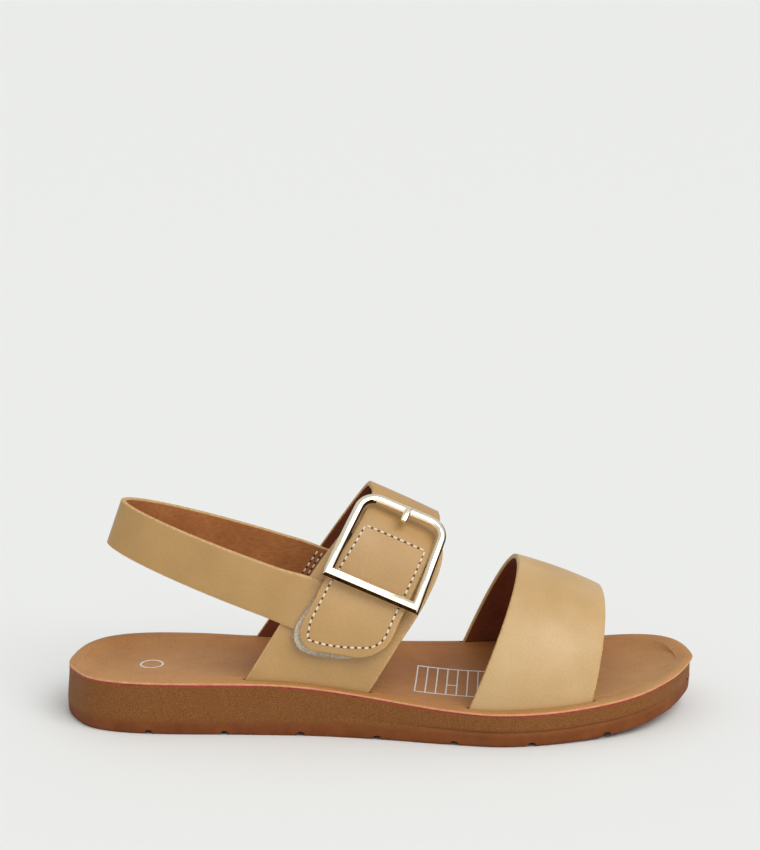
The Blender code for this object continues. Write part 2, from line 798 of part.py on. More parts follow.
def cut_slots(pieces):
    """Slots through board and footbed for the four strap feet, from the straps' own walls."""
    for arch, label in (((FRONT_EDGES, FRONT_HEIGHT), "front"),
                        ((INSTEP_EDGES, INSTEP_HEIGHT), "instep")):
        for side in ("lateral", "medial"):
            edges = arch[0]
            width = (edges[2].foot_x - edges[0].foot_x) * LENGTH
            walls = []
            for lift in (-GAP, STRAP_WALL + GAP):
                grid = []
                for drop in (rim_top(0) - sole_top(0) + OVERCUT, -OVERCUT):
                    grid.append([foot_point(arch, side, -GAP / width + share
                                            * (1 + 2 * GAP / width), lift, drop)
                                 for share in spread(ACROSS_STEPS)])
                walls.append(grid)
            cutter = slab("slot_%s_%s" % (label, side), walls[0], walls[1])
            for piece in pieces:
                boolean(piece, cutter, "DIFFERENCE")


def main():
    for old in list(bpy.data.objects):
        bpy.data.objects.remove(old, do_unlink=True)
    make_sole()
    board = make_board()
    footbed = make_footbed()
    cut_slots((board, footbed))
    make_front_strap()
    make_upper()
    make_tape_patch()
    make_buckle()


main()
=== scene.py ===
"""The look of a right slingback sandal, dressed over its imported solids.

Metres, +X to the toe, +Y to the inner side of the foot, +Z up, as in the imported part. The
buckle is on the outer side, at -Y. Each soft or metal piece here is a finer mesh of the same
form as the solid that it stands for, worked out from the same named sizes.
"""

from collections import namedtuple
from math import cos, pi, radians, sin

import bmesh
import bpy
import numpy as np
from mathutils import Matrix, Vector
from mathutils.bvhtree import BVHTree


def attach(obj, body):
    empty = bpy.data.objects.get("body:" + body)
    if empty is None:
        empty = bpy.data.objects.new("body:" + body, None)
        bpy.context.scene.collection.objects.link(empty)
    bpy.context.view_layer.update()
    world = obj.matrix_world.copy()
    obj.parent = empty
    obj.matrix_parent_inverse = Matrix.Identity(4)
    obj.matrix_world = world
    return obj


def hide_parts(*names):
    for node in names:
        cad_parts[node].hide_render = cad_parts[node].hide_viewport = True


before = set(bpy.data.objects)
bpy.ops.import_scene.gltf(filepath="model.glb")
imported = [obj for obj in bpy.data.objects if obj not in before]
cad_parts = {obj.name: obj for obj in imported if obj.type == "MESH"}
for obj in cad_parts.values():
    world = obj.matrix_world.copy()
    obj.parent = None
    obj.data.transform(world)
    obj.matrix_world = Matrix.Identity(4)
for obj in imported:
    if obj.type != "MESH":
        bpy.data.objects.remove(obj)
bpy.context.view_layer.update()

# Sole, board and footbed, as in the part
LENGTH = 0.252
BALL_WIDTH = 0.0925
HEEL_WIDTH = 0.064
HEEL_THICKNESS = 0.0193
FORE_THICKNESS = 0.0117
SLOPE_START = -0.050
SLOPE_END = 0.045
TOE_SPRING = 0.0070
SPRING_START = 0.058
BOTTOM_INSET = 0.0030
GROOVES = 7
GROOVE_PITCH = 0.0298
GROOVE_MIDDLE = -0.0012
GROOVE_MOUTH = 0.0040
GROOVE_ROOF = 0.0023
GROOVE_DEPTH = 0.0018
BOARD_THICKNESS = 0.0007
EDGE_THICKNESS = 0.0005
RIM_HEIGHT = 0.0007
RIM_INSET = 0.0060
DISH_DEPTH = 0.0016
ARCH_LIFT = 0.0015
ARCH_MIDDLE = -0.016
ARCH_REACH = 0.050
MEDIAL_RIM = 0.0018
MEDIAL_RIM_START = 4.0
GAP = 0.0003

# Straps and sling, as in the part
STRAP_WALL = 0.0020
STRAP_INSET = 0.0032
FRONT_HEIGHT = 0.0605
INSTEP_HEIGHT = 0.0915
SEAM_BITE = 0.0003
TAB_CORNER = 0.0120
PATCH_SHOW = 0.0016
PATCH_FRONT_INSET = 0.0050
SLING_WIDTH = 0.0206
SLING_TAPER = 0.08
SLING_TILT = radians(19.3)
SLING_LATERAL_X = -0.0300
SLING_LATERAL_Z = 0.0521
SLING_MEDIAL_X = -0.0290
SLING_MEDIAL_Z = 0.0536
SLING_REACH = 0.0795
SLING_POWER = 1.80
SLING_LATERAL_LAP = 0.0140
SLING_MEDIAL_LAP = 0.0055
SLING_SETTLE = 0.0140

# Buckle, as in the part
BUCKLE_WIDTH = 0.0404
BUCKLE_HEAD_WIDTH = 0.0380
BUCKLE_HEIGHT = 0.0400
BUCKLE_CORNER = 0.0090
BUCKLE_THICKNESS = 0.0030
BUCKLE_BEVEL = 0.0007
BUCKLE_CURVE = 0.0650
SIDE_BAR = 0.0036
FOOT_BAR = 0.0044
MIDDLE_BAR = 0.0030
MIDDLE_BAR_THICKNESS = 0.0013
PRONG_WIDTH = 0.0026
PRONG_LENGTH = 0.0068
PRONG_PLACE = 0.0008
PRONG_RISE = 0.0006
PRONG_BEVEL = 0.0005
BUCKLE_FOOT_PLAY = 0.0018
BUCKLE_HEAD_PLAY = 0.0034
MIDDLE_BAR_PLAY = 0.0010
BUCKLE_FOOT_TURN = 0.183
BUCKLE_HEAD_TURN = 0.378
BUCKLE_FOOT_ACROSS = 0.625
BUCKLE_HEAD_ACROSS = 0.555

# Details that only the looks have
EDGE_RADIUS = 0.0006
OVERCUT = 0.0020
SLIT_PLAY = 0.0005
SLIT_RUN = 0.0016
SLIT_DEPTH = 0.0020
SLIT_RISE = 0.0030
STITCH_PITCH = 0.0028
STITCH_LENGTH = 0.0018
STITCH_THICKNESS = 0.00082
HOLE_LENGTH = 0.0014
PRESSED_DEPTH = 0.00045
PRESSED_PLACE = 0.94
PRESSED_REACH = 0.028
TOE_FLARE = 0.0011
TOE_FLARE_START = 0.090
TOE_RISE = 0.0014
HEEL_TUCK = 0.0011
HEEL_TUCK_START = 0.085
CREASE = 0.0006
CREASE_START = -0.030
CREASE_FADE = 0.070
CREASE_PLACE = 0.48
CREASE_REACH = 0.045
FIBRES = 900
FIBRE_LENGTH = 0.0008
FIBRE_THICKNESS = 0.00009
FIBRE_ROOT = 0.0002
FIBRE_SCATTER = 0.00018
FIBRE_SPREAD = 0.45
FACE_BEVEL = 0.0013
# Limits on the buckle's face directions past which faces take the painted dark reflection
DARK_OUTWARD = 0.96
DARK_SIDEWAYS = 0.35
PRINT_HEIGHT = 0.00006

# Fineness of the meshes
SHARP_ANGLE = radians(42)
RIBS = 220
ARCH_STEPS = 150
ACROSS_STEPS = 26
FOOT_STEPS = 5
FOOT_DROP = 0.0022
ROUND_STEPS = 4
CORNER_STEPS = 26
SLING_STEPS = 150
SLING_COLUMNS = 16
LATERAL_LAP_STEPS = 12
MEDIAL_LAP_STEPS = 8
BEAD_SIDES = 8
BEAD_STEPS = 6
RING_STEPS = 72

FLOOR_REACH = 900.0

# Camera, found from the photograph's sole, straps and buckle
CAMERA_PLACE = (0.0, -0.8305, 0.2826)
CAMERA_PITCH = radians(11.26)
CAMERA_LENS = 90.83

# Lamps
CARD_PLACE = (0.1, -1.3, 0.60)
CARD_SIZE = (1.8, 0.9)
CARD_POWER = 5.0
SUN_DIRECTION = (-0.55, 0.62, -0.9)
SUN_STRENGTH = 1.65
SUN_SPREAD = radians(45)
SUN_COLOUR = (1.0, 0.985, 0.96)
WORLD_STRENGTH = 0.62

Outline = namedtuple("Outline", "along lateral medial")
OUTLINE = (
    # along is a share of the length from the heel, each side a share of the local half width
    Outline(0.000, 0.07, -0.07),
    Outline(0.012, 0.39, 0.46),
    Outline(0.044, 0.75, 0.81),
    Outline(0.103, 0.95, 0.98),
    Outline(0.200, 1.02, 0.96),
    Outline(0.300, 0.99, 0.79),
    Outline(0.400, 0.93, 0.75),
    Outline(0.500, 0.93, 0.81),
    Outline(0.600, 0.98, 0.92),
    Outline(0.700, 1.02, 1.00),
    Outline(0.800, 0.91, 1.03),
    Outline(0.900, 0.68, 0.97),
    Outline(0.957, 0.38, 0.79),
    Outline(0.989, 0.06, 0.51),
    Outline(1.000, -0.16, 0.16),
)
WAIST_START = 0.20
BALL_START = 0.70

Wall = namedtuple("Wall", "height inset")
SOLE_WALL = (
    # height is a share of the local thickness, inset a share of the bottom inset
    Wall(1.00, 0.00),
    Wall(0.52, 0.02),
    Wall(0.28, 0.07),
    Wall(0.08, 0.18),
    Wall(0.00, 0.48),
)

Bed = namedtuple("Bed", "inset height")
BED_EDGE = (
    # inset is a share of the rim inset, height a share of the rim height
    Bed(0.00, 0.00),
    Bed(0.10, 0.40),
    Bed(0.45, 0.92),
    Bed(1.00, 1.00),
)

Edge = namedtuple("Edge", "across foot_x crown_x crown_y crown_z lateral_power medial_power")
FRONT_EDGES = (
    # x is a share of the length, y of the ball width, z of the strap's height
    Edge(0.0, 0.137, 0.217, 0.045, 1.000, 2.05, 2.30),
    Edge(0.5, 0.231, 0.290, 0.045, 0.897, 2.12, 2.30),
    Edge(1.0, 0.325, 0.353, 0.045, 0.777, 2.20, 2.30),
)
INSTEP_EDGES = (
    Edge(0.0, -0.208, -0.019, 0.060, 1.000, 2.00, 2.35),
    Edge(0.5, -0.112, 0.036, 0.060, 0.932, 2.00, 2.35),
    Edge(1.0, -0.016, 0.091, 0.060, 0.858, 2.00, 2.35),
)

Row = namedtuple("Row", "turn rear front lift")
QUARTER_ROWS = (
    # turn runs from 0 at the outer foot of the arch to 1 at the inner, rear and front are shares
    # of the arch's width, and lift is the inner face's height over it in strap walls
    Row(0.00, 0.00, 1.00, 0.00),
    Row(0.10, -0.03, 1.07, 0.00),
    Row(0.20, -0.05, 1.16, 0.00),
    Row(0.30, 0.00, 1.19, 0.00),
    Row(0.39, 0.10, 1.10, 0.00),
)
STRAP_ROWS = (
    Row(0.063, 0.175, 1.01, 2.50),
    Row(0.145, 0.140, 1.01, 2.50),
    Row(0.183, 0.120, 1.02, 2.30),
    Row(0.280, 0.120, 1.04, 2.35),
    Row(0.378, 0.110, 1.03, 1.20),
    Row(0.420, 0.080, 1.01, 1.05),
    Row(0.500, 0.000, 1.00, 0.00),
    Row(1.000, 0.000, 1.00, 0.00),
)
FRONT_ROWS = (
    Row(0.00, 0.00, 1.00, 0.00),
    Row(1.00, 0.00, 1.00, 0.00),
)
FRONT_ARCH = (FRONT_EDGES, FRONT_HEIGHT)
INSTEP_ARCH = (INSTEP_EDGES, INSTEP_HEIGHT)
PATCH_TOP = 0.160
PATCH_STEP_START = 0.50
PATCH_STEP_WIDTH = 0.08


# Curves, as in the part, for whole arrays of places

def smoothstep(share):
    share = np.clip(share, 0.0, 1.0)
    return share * share * (3 - 2 * share)


def turn_of(along):
    """The angle of a share of the length, which spaces the ribs closely at heel and toe."""
    return np.arccos(np.clip(1 - 2 * along, -1.0, 1.0))


def read_curve(rows, column, at, place=lambda row: row[0]):
    """Read a column at given places along a smooth curve through the table's rows."""
    places = np.array([place(row) for row in rows], float)
    values = np.array([getattr(row, column) for row in rows], float)
    last = len(rows) - 1
    low = np.maximum(np.arange(last + 1) - 1, 0)
    high = np.minimum(np.arange(last + 1) + 1, last)
    slopes = (values[high] - values[low]) / (places[high] - places[low])
    step = np.clip(np.searchsorted(places, at, side="right") - 1, 0, last - 1)
    span = places[step + 1] - places[step]
    share = np.clip((at - places[step]) / span, 0.0, 1.0)
    rise = values[step + 1] - values[step]
    start = slopes[step] * span
    finish = slopes[step + 1] * span
    square = 3 * rise - 2 * start - finish
    cube = start + finish - 2 * rise
    return values[step] + share * (start + share * (square + share * cube))


def read_parabola(rows, column, across):
    """Read a column between the three edges of a strap, at 0, 0.5 and 1 across it."""
    rear, middle, front = (getattr(row, column) for row in rows)
    bend = 2 * rear - 4 * middle + 2 * front
    return rear + across * (front - rear - bend) + across * across * bend


def half_width(x):
    along = 0.5 + x / LENGTH
    blend = smoothstep((along - WAIST_START) / (BALL_START - WAIST_START))
    return (HEEL_WIDTH + (BALL_WIDTH - HEEL_WIDTH) * blend) / 2


def plan_point(turn, side, inset=0.0):
    """Points of the plan's outline, on the lateral or the medial side, moved inwards."""
    half = half_width(-LENGTH / 2 * np.cos(turn))
    share = read_curve(OUTLINE, side, turn, lambda row: turn_of(row.along))
    sign = -1 if side == "lateral" else 1
    return -(LENGTH / 2 - inset) * np.cos(turn), sign * share * (half - inset)


def top_point(turn, side, inset=0.0):
    """Points of the plan's outline at the sole's top, which leans in a little behind the heel."""
    x, y = plan_point(turn, side, inset)
    return x + HEEL_TUCK * smoothstep((-x - HEEL_TUCK_START) / (LENGTH / 2 - HEEL_TUCK_START)), y


def side_y(x, side, inset):
    turn = np.arccos(np.clip(-x / (LENGTH / 2 - inset), -1.0, 1.0))
    return plan_point(turn, side, inset)[1]


def ground(x):
    past = np.maximum(0.0, x - SPRING_START) / (LENGTH / 2 - SPRING_START)
    return TOE_SPRING * past * past


def sole_thickness(x):
    slope = smoothstep((x - SLOPE_START) / (SLOPE_END - SLOPE_START))
    return HEEL_THICKNESS + (FORE_THICKNESS - HEEL_THICKNESS) * slope


def sole_top(x):
    return ground(x) + sole_thickness(x)


def bed_bottom(x):
    return sole_top(x) + BOARD_THICKNESS + 2 * GAP


def rim_top(x):
    return bed_bottom(x) + EDGE_THICKNESS + RIM_HEIGHT


def arch_base(arch, turn, across):
    """Points of the form that a strap is pulled over, on a superellipse from foot to foot."""
    edges, height = arch
    turn, across = np.broadcast_arrays(np.asarray(turn, float), np.asarray(across, float))
    lateral = turn < 0.5
    power = np.where(lateral, read_parabola(edges, "lateral_power", across),
                     read_parabola(edges, "medial_power", across))
    foot_x = read_parabola(edges, "foot_x", across) * LENGTH
    inset = STRAP_INSET + STRAP_WALL
    foot_y = np.where(lateral, side_y(foot_x, "lateral", inset), side_y(foot_x, "medial", inset))
    foot_z = rim_top(foot_x)
    crown_x = read_parabola(edges, "crown_x", across) * LENGTH
    crown_y = read_parabola(edges, "crown_y", across) * BALL_WIDTH
    crown_z = read_parabola(edges, "crown_z", across) * height
    angle = pi * np.clip(turn, 0.0, 1.0)
    rise = np.abs(np.sin(angle)) ** (2 / power)
    reach = np.abs(np.cos(angle)) ** (2 / power)
    return np.stack((foot_x + (crown_x - foot_x) * rise,
                     crown_y + (foot_y - crown_y) * reach,
                     foot_z + (crown_z - foot_z) * rise), axis=-1)


def unit(vectors):
    return vectors / np.linalg.norm(vectors, axis=-1, keepdims=True)


def arch_normal(arch, turn, across):
    step = 0.004
    along = arch_base(arch, np.minimum(1.0, turn + step), across) \
        - arch_base(arch, np.maximum(0.0, turn - step), across)
    sideways = arch_base(arch, turn, across + step) - arch_base(arch, turn, across - step)
    return unit(np.cross(sideways, along))


def arch_point(arch, turn, across, lift):
    """Points at a height over the form, square to it."""
    lift = np.asarray(lift, float)
    return arch_base(arch, turn, across) + lift[..., None] * arch_normal(arch, turn, across)


def foot_point(arch, side, across, lift, drop):
    """Points below the rim, where the strap runs on straight down into its slot."""
    edges, height = arch
    turn = 0.0 if side == "lateral" else 1.0
    rim = arch_point(arch, turn, across, lift)
    foot = arch_base(arch, turn, across)
    crown_x = read_parabola(edges, "crown_x", across) * LENGTH
    crown_z = read_parabola(edges, "crown_z", across) * height
    lean = (crown_x - foot[..., 0]) / (crown_z - foot[..., 2])
    down = np.stack((lean, 0 * lean, 1 + 0 * lean), axis=-1)
    return rim - drop * down


def arch_scale(arch, turn, across=0.5):
    """Lengths of one whole turn and one whole width, near a strap's row."""
    step = 0.01
    turned = arch_base(arch, turn + step, across) - arch_base(arch, turn - step, across)
    crossed = arch_base(arch, turn, 1.0) - arch_base(arch, turn, 0.0)
    return np.linalg.norm(turned, axis=-1) / (2 * step), np.linalg.norm(crossed, axis=-1)


# Meshes and objects

def new_object(name, points, faces, materials, kinds=None, smooth=True):
    """One mesh object that rides on the sandal, with a material number for each face."""
    data = bpy.data.meshes.new(name)
    data.from_pydata(np.asarray(points, float).tolist(), [], faces)
    for material in materials:
        data.materials.append(material)
    if kinds is not None:
        data.polygons.foreach_set("material_index", kinds)
    mesh = bmesh.new()
    mesh.from_mesh(data)
    bmesh.ops.remove_doubles(mesh, verts=mesh.verts, dist=1e-7)
    bmesh.ops.recalc_face_normals(mesh, faces=mesh.faces)
    mesh.to_mesh(data)
    mesh.free()
    piece = bpy.data.objects.new(name, data)
    bpy.context.collection.objects.link(piece)
    if smooth:
        data.shade_smooth()
        data.set_sharp_from_angle(angle=SHARP_ANGLE)
    return piece


def loft(name, rings, materials, strips=None, capped=True, closed=False):
    """Skin rings of points that follow each other; strips gives each lengthwise strip's material."""
    rings = np.asarray(rings, float)
    count = rings.shape[1]
    strips = [0] * count if strips is None else strips
    faces, kinds = [], []
    for i in range(len(rings) if closed else len(rings) - 1):
        here, there = i * count, (i + 1) % len(rings) * count
        for j in range(count):
            k = (j + 1) % count
            faces.append((here + j, here + k, there + k, there + j))
            kinds.append(strips[j])
    if capped and not closed:
        faces.append(tuple(range(count)))
        faces.append(tuple(range((len(rings) - 1) * count, len(rings) * count)))
        kinds += [max(strips)] * 2
    return new_object(name, rings.reshape(-1, 3), faces, materials, kinds)


def add_tube(points, faces, rings):
    """Add a tube through rings of equally many points, with both its ends capped."""
    start, count = len(points), len(rings[0])
    for ring in rings:
        points.extend(ring)
    for i in range(len(rings) - 1):
        here, there = start + i * count, start + (i + 1) * count
        for j in range(count):
            k = (j + 1) % count
            faces.append((here + j, here + k, there + k, there + j))
    last = len(points) - count
    faces.append(tuple(range(start, start + count)))
    faces.append(tuple(range(last, last + count)))


def dress(piece, slot, *nodes):
    """The piece rides on the sandal and stands for these nodes, whose solids it hides; the slot is not
    used.
    """
    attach(piece, "root")
    if nodes:
        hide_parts(*nodes)
    return piece


def cut(piece, cutter):
    """Cut a helper out of a piece for good, and delete the helper."""
    modifier = piece.modifiers.new("cut", "BOOLEAN")
    modifier.operation = "DIFFERENCE"
    modifier.solver = "EXACT"
    modifier.object = cutter
    cut_mesh = bpy.data.meshes.new_from_object(piece.evaluated_get(bpy.context.evaluated_depsgraph_get()))
    piece.modifiers.clear()
    piece.data = cut_mesh
    cut_mesh.set_sharp_from_angle(angle=SHARP_ANGLE)
    bpy.data.objects.remove(cutter, do_unlink=True)


# Materials

class Shader:
    """A material under construction: its nodes, links and surface shader."""

    def __init__(self, name, roughness, metallic=0.0, colour=(0.5, 0.5, 0.5)):
        self.material = bpy.data.materials.new(name)
        self.material.use_nodes = True
        self.nodes = self.material.node_tree.nodes
        self.links = self.material.node_tree.links
        self.surface = self.nodes["Principled BSDF"]
        self.set("Roughness", roughness)
        self.set("Metallic", metallic)
        self.set("Base Color", (*colour, 1.0))
        self.place = self.nodes.new("ShaderNodeTexCoord").outputs["Object"]

    def set(self, name, value):
        self.surface.inputs[name].default_value = value

    def feed(self, socket, value):
        """Set a socket to a number or a colour, or link another node to it."""
        if isinstance(value, (int, float)):
            socket.default_value = value
        elif isinstance(value, tuple):
            socket.default_value = (*value, 1.0)
        else:
            self.links.new(value, socket)

    def node(self, kind, inputs):
        node = self.nodes.new("ShaderNode" + kind)
        for name, value in inputs.items():
            self.feed(node.inputs[name], value)
        return node

    def stretched(self, scale):
        mapping = self.node("Mapping", {"Vector": self.place})
        mapping.inputs["Scale"].default_value = scale
        return mapping.outputs["Vector"]

    def noise(self, scale, detail=3.0, rough=0.55, place=None):
        return self.node("TexNoise", {"Vector": place or self.place, "Scale": scale, "Detail": detail,
                                      "Roughness": rough}).outputs["Fac"]

    def cells(self, scale, feature="F1"):
        node = self.node("TexVoronoi", {"Vector": self.place, "Scale": scale})
        node.feature = feature
        return node.outputs["Distance"]

    def axis(self, name):
        return self.node("SeparateXYZ", {"Vector": self.place}).outputs[name]

    def span(self, value, low, high, out_low=0.0, out_high=1.0):
        node = self.node("MapRange", {"Value": value, "From Min": low, "From Max": high,
                                      "To Min": out_low, "To Max": out_high})
        node.interpolation_type = "SMOOTHSTEP"
        return node.outputs["Result"]

    def math(self, operation, first, second):
        node = self.nodes.new("ShaderNodeMath")
        node.operation = operation
        self.feed(node.inputs[0], first)
        self.feed(node.inputs[1], second)
        return node.outputs["Value"]

    def ramp(self, value, stops):
        node = self.nodes.new("ShaderNodeValToRGB")
        elements = node.color_ramp.elements
        while len(elements) < len(stops):
            elements.new(0.5)
        for element, (at, colour) in zip(elements, stops):
            element.position = at
            element.color = (*colour, 1.0)
        self.links.new(value, node.inputs["Fac"])
        return node.outputs["Color"]

    def mix(self, share, first, second, blend="MIX"):
        node = self.nodes.new("ShaderNodeMix")
        node.data_type = "RGBA"
        node.blend_type = blend
        for name, value in (("Factor", share), ("A", first), ("B", second)):
            self.feed(node.inputs[name], value)
        return node.outputs["Result"]

    def tint(self, base, value, stops):
        return self.mix(1.0, base, self.ramp(value, stops), "MULTIPLY")

    def mottle(self, value, dark, light, low=0.30, high=0.70):
        return self.ramp(value, ((low, linear(*dark)), (high, linear(*light))))

    def colour(self, value):
        self.links.new(value, self.surface.inputs["Base Color"])

    def roughness(self, value):
        self.links.new(value, self.surface.inputs["Roughness"])

    def bump(self, height, distance, strength, over=None):
        node = self.node("Bump", {"Height": height, "Distance": distance, "Strength": strength})
        if over is not None:
            self.links.new(over, node.inputs["Normal"])
        self.links.new(node.outputs["Normal"], self.surface.inputs["Normal"])
        return node.outputs["Normal"]


def linear(red, green, blue):
    """A colour as shades of 0 to 255 on a screen, turned into light."""
    channels = np.array((red, green, blue)) / 255
    light = np.where(channels < 0.04045, channels / 12.92, ((channels + 0.055) / 1.055) ** 2.4)
    return tuple(float(value) for value in light)


def strap_leather(name, dark, light, coat):
    """Smooth tan leather with a fine grain, a little uneven in colour and gloss."""
    shader = Shader(name, 0.46)
    base = shader.mottle(shader.noise(38, detail=2), dark, light)
    specks = shader.noise(2600, detail=2)
    shader.colour(shader.tint(base, specks, ((0.35, (0.90, 0.88, 0.86)), (0.62, (1.03, 1.03, 1.03)))))
    shader.roughness(shader.span(shader.noise(90, detail=4), 0.3, 0.7, 0.40, 0.50))
    grain = shader.bump(shader.cells(1500, "SMOOTH_F1"), 0.00010, 0.35)
    shader.bump(shader.noise(220), 0.00025, 0.30, over=grain)
    shader.set("Specular IOR Level", 0.55)
    shader.set("Coat Weight", coat)
    shader.set("Coat Roughness", 0.42)
    return shader.material


def edge_paint(name, roughness, scale, dark, light, grain, depth, strength):
    """The painted or cut edge of a layer, mottled between two colours."""
    shader = Shader(name, roughness)
    shader.colour(shader.mottle(shader.noise(scale), dark, light))
    shader.bump(shader.noise(grain), depth, strength)
    return shader.material


def lining(name, dark, light):
    """Brown lining of the straps, with a fine nap that lies along them."""
    shader = Shader(name, 0.70)
    shader.set("Specular IOR Level", 0.20)
    shader.set("Sheen Weight", 0.08)
    base = shader.mottle(shader.noise(60), dark, light)
    threads = shader.noise(1100, detail=2, place=shader.stretched((0.45, 1.0, 1.6)))
    shader.colour(shader.tint(base, threads, ((0.36, (0.84, 0.82, 0.80)), (0.64, (1.06, 1.05, 1.04)))))
    shader.bump(threads, 0.00015, 0.5)
    return shader.material


BED_LIGHT_AND_SHADE_ALONG = (
    # a share of the length from heel to toe and the cover's tone there: painted shade through the middle,
    # where the straps and the quarter shade the cover, a painted highlight behind it, and lighter again at
    # the toe
    (0.00, (1.00, 1.05, 1.08)),
    (0.13, (1.04, 1.12, 1.20)),
    (0.26, (0.90, 0.84, 0.76)),
    (0.80, (0.88, 0.80, 0.68)),
    (0.94, (1.00, 1.04, 1.08)),
    (1.00, (1.05, 1.16, 1.24)),
)


BED_LIGHT_AND_SHADE_ACROSS = (
    # a share of the width from the outer side to the inner and the cover's tone there: a painted highlight
    # along the outer side and painted shade toward the inner side
    (0.00, (1.10, 1.18, 1.26)),
    (0.30, (1.04, 1.08, 1.12)),
    (1.00, (0.88, 0.82, 0.74)),
)


def bed_leather():
    """Brown satin sock cover of the footbed, with a fine grain and scattered pinholes, and with painted
    light and shade: painted shade through the middle and toward the inner side, a painted highlight behind
    the arch and along the outer side, and painted shade in the pinholes.
    """
    shader = Shader("footbed_cover", 0.55)
    toned = shader.mottle(shader.noise(30), (174, 117, 66), (190, 134, 80))
    specks = shader.noise(1900)
    along = shader.span(shader.axis("X"), -LENGTH / 2, LENGTH / 2)
    across = shader.span(shader.axis("Y"), -BALL_WIDTH / 2, BALL_WIDTH / 2)
    toned = shader.tint(toned, specks, ((0.34, (0.86, 0.84, 0.82)), (0.62, (1.04, 1.04, 1.04))))
    # painted shade through the middle of the length and a painted highlight behind it
    toned = shader.tint(toned, along, BED_LIGHT_AND_SHADE_ALONG)
    # painted highlight along the outer side and painted shade toward the inner side
    toned = shader.tint(toned, across, BED_LIGHT_AND_SHADE_ACROSS)
    pores = shader.span(shader.cells(520), 0.05, 0.15)
    # the pinholes are darker: painted shade inside them
    shader.colour(shader.mix(pores, linear(112, 64, 34), toned))
    shader.roughness(shader.span(shader.noise(140, detail=4), 0.3, 0.7, 0.52, 0.64))
    shader.set("Specular IOR Level", 0.32)
    grain = shader.bump(shader.noise(1500), 0.00012, 0.5)
    shader.bump(pores, 0.00012, 0.5, over=grain)
    return shader.material


# The heights between which the sole's side changes from its calm foot to its grainy wall
CALM_BAND = (0.0034, 0.0078)


def sole_rubber():
    """Brown moulded foam rubber: speckled and grainy above, smoother and warmer at the foot."""
    shader = Shader("sole_rubber", 0.66)
    shader.set("Specular IOR Level", 0.22)
    spring = shader.math("MAXIMUM", shader.math("SUBTRACT", shader.axis("X"), SPRING_START), 0.0)
    lift = shader.math("MULTIPLY", shader.math("POWER", spring, 2.0),
                       TOE_SPRING / (LENGTH / 2 - SPRING_START) ** 2)
    lower = shader.span(shader.math("SUBTRACT", shader.axis("Z"), lift), *CALM_BAND)
    specks = shader.noise(3300, detail=2, rough=0.6)
    grainy = shader.ramp(specks, ((0.36, linear(108, 64, 26)), (0.52, linear(132, 82, 37)),
                                  (0.70, linear(158, 104, 52))))
    calm = shader.mottle(shader.noise(120), (116, 61, 24), (134, 74, 31))
    shader.colour(shader.mix(lower, calm, grainy))
    fine = shader.bump(specks, 0.00018, 0.55)
    soft = shader.bump(shader.noise(300), 0.0002, 0.3, over=fine)
    folds = shader.noise(110, detail=2, place=shader.stretched((0.16, 0.16, 1.3)))
    shader.bump(folds, 0.0010, 0.28, over=soft)
    shader.roughness(shader.span(shader.noise(200), 0.3, 0.7, 0.60, 0.72))
    return shader.material


def felt():
    """Grey-beige loop tape."""
    shader = Shader("loop_tape", 0.95)
    shade = shader.noise(1600, detail=4, rough=0.7)
    shader.colour(shader.ramp(shade, ((0.32, linear(168, 150, 124)), (0.52, linear(208, 195, 170)),
                                      (0.70, linear(238, 230, 212)))))
    shader.bump(shader.noise(2200, detail=4, rough=0.7), 0.0004, 0.9)
    shader.set("Sheen Weight", 0.35)
    shader.set("Sheen Roughness", 0.5)
    return shader.material


def gilt():
    """Polished pale gold plating with faint polishing marks."""
    shader = Shader("gilt_metal", 0.12, 1.0)
    shader.colour(shader.mottle(shader.noise(260, detail=4), (254, 238, 206), (255, 247, 228)))
    shader.roughness(shader.span(shader.noise(600, detail=4), 0.35, 0.7, 0.08, 0.17))
    shader.bump(shader.noise(420, detail=4), 0.00004, 0.35)
    return shader.material


def gilt_painted_reflection():
    """Near-black metal for the bars' sides toward the toe and the sole: a painted dark reflection of dark
    surroundings in the polished plating.
    """
    shader = Shader("gilt_painted_reflection", 0.26, 1.0)
    shader.colour(shader.mottle(shader.noise(420, detail=4), (34, 21, 10), (74, 48, 22), 0.34, 0.72))
    shader.bump(shader.noise(700, detail=4), 0.00005, 0.4)
    return shader.material


def thread(name, light, dark):
    shader = Shader(name, 0.65)
    twist = shader.noise(2600, detail=2)
    shader.colour(shader.mottle(twist, dark, light, 0.35, 0.60))
    shader.bump(twist, 0.0001, 0.6)
    return shader.material


def plain_ink():
    """White transfer print, a little worn."""
    shader = Shader("white_print", 0.45)
    wear = shader.noise(1500, detail=4)
    shader.colour(shader.mottle(wear, (196, 184, 170), (238, 234, 228), high=0.50))
    shader.bump(wear, 0.00005, 0.3)
    return shader.material


# Sole, board and footbed

def rib_turns():
    return np.linspace(0.0, pi, RIBS + 1)


def wall_rows():
    """Heights and insets down the sole's side, close together at its crease and its foot."""
    heights = np.concatenate((np.linspace(1.0, 0.58, 6), (0.54, 0.51, 0.48, 0.45, 0.42),
                              np.linspace(0.36, 0.10, 6), (0.07, 0.045, 0.025, 0.010, 0.0)))
    shares = read_curve(SOLE_WALL, "inset", 1 - heights, lambda row: 1 - row.height)
    return heights, shares * BOTTOM_INSET


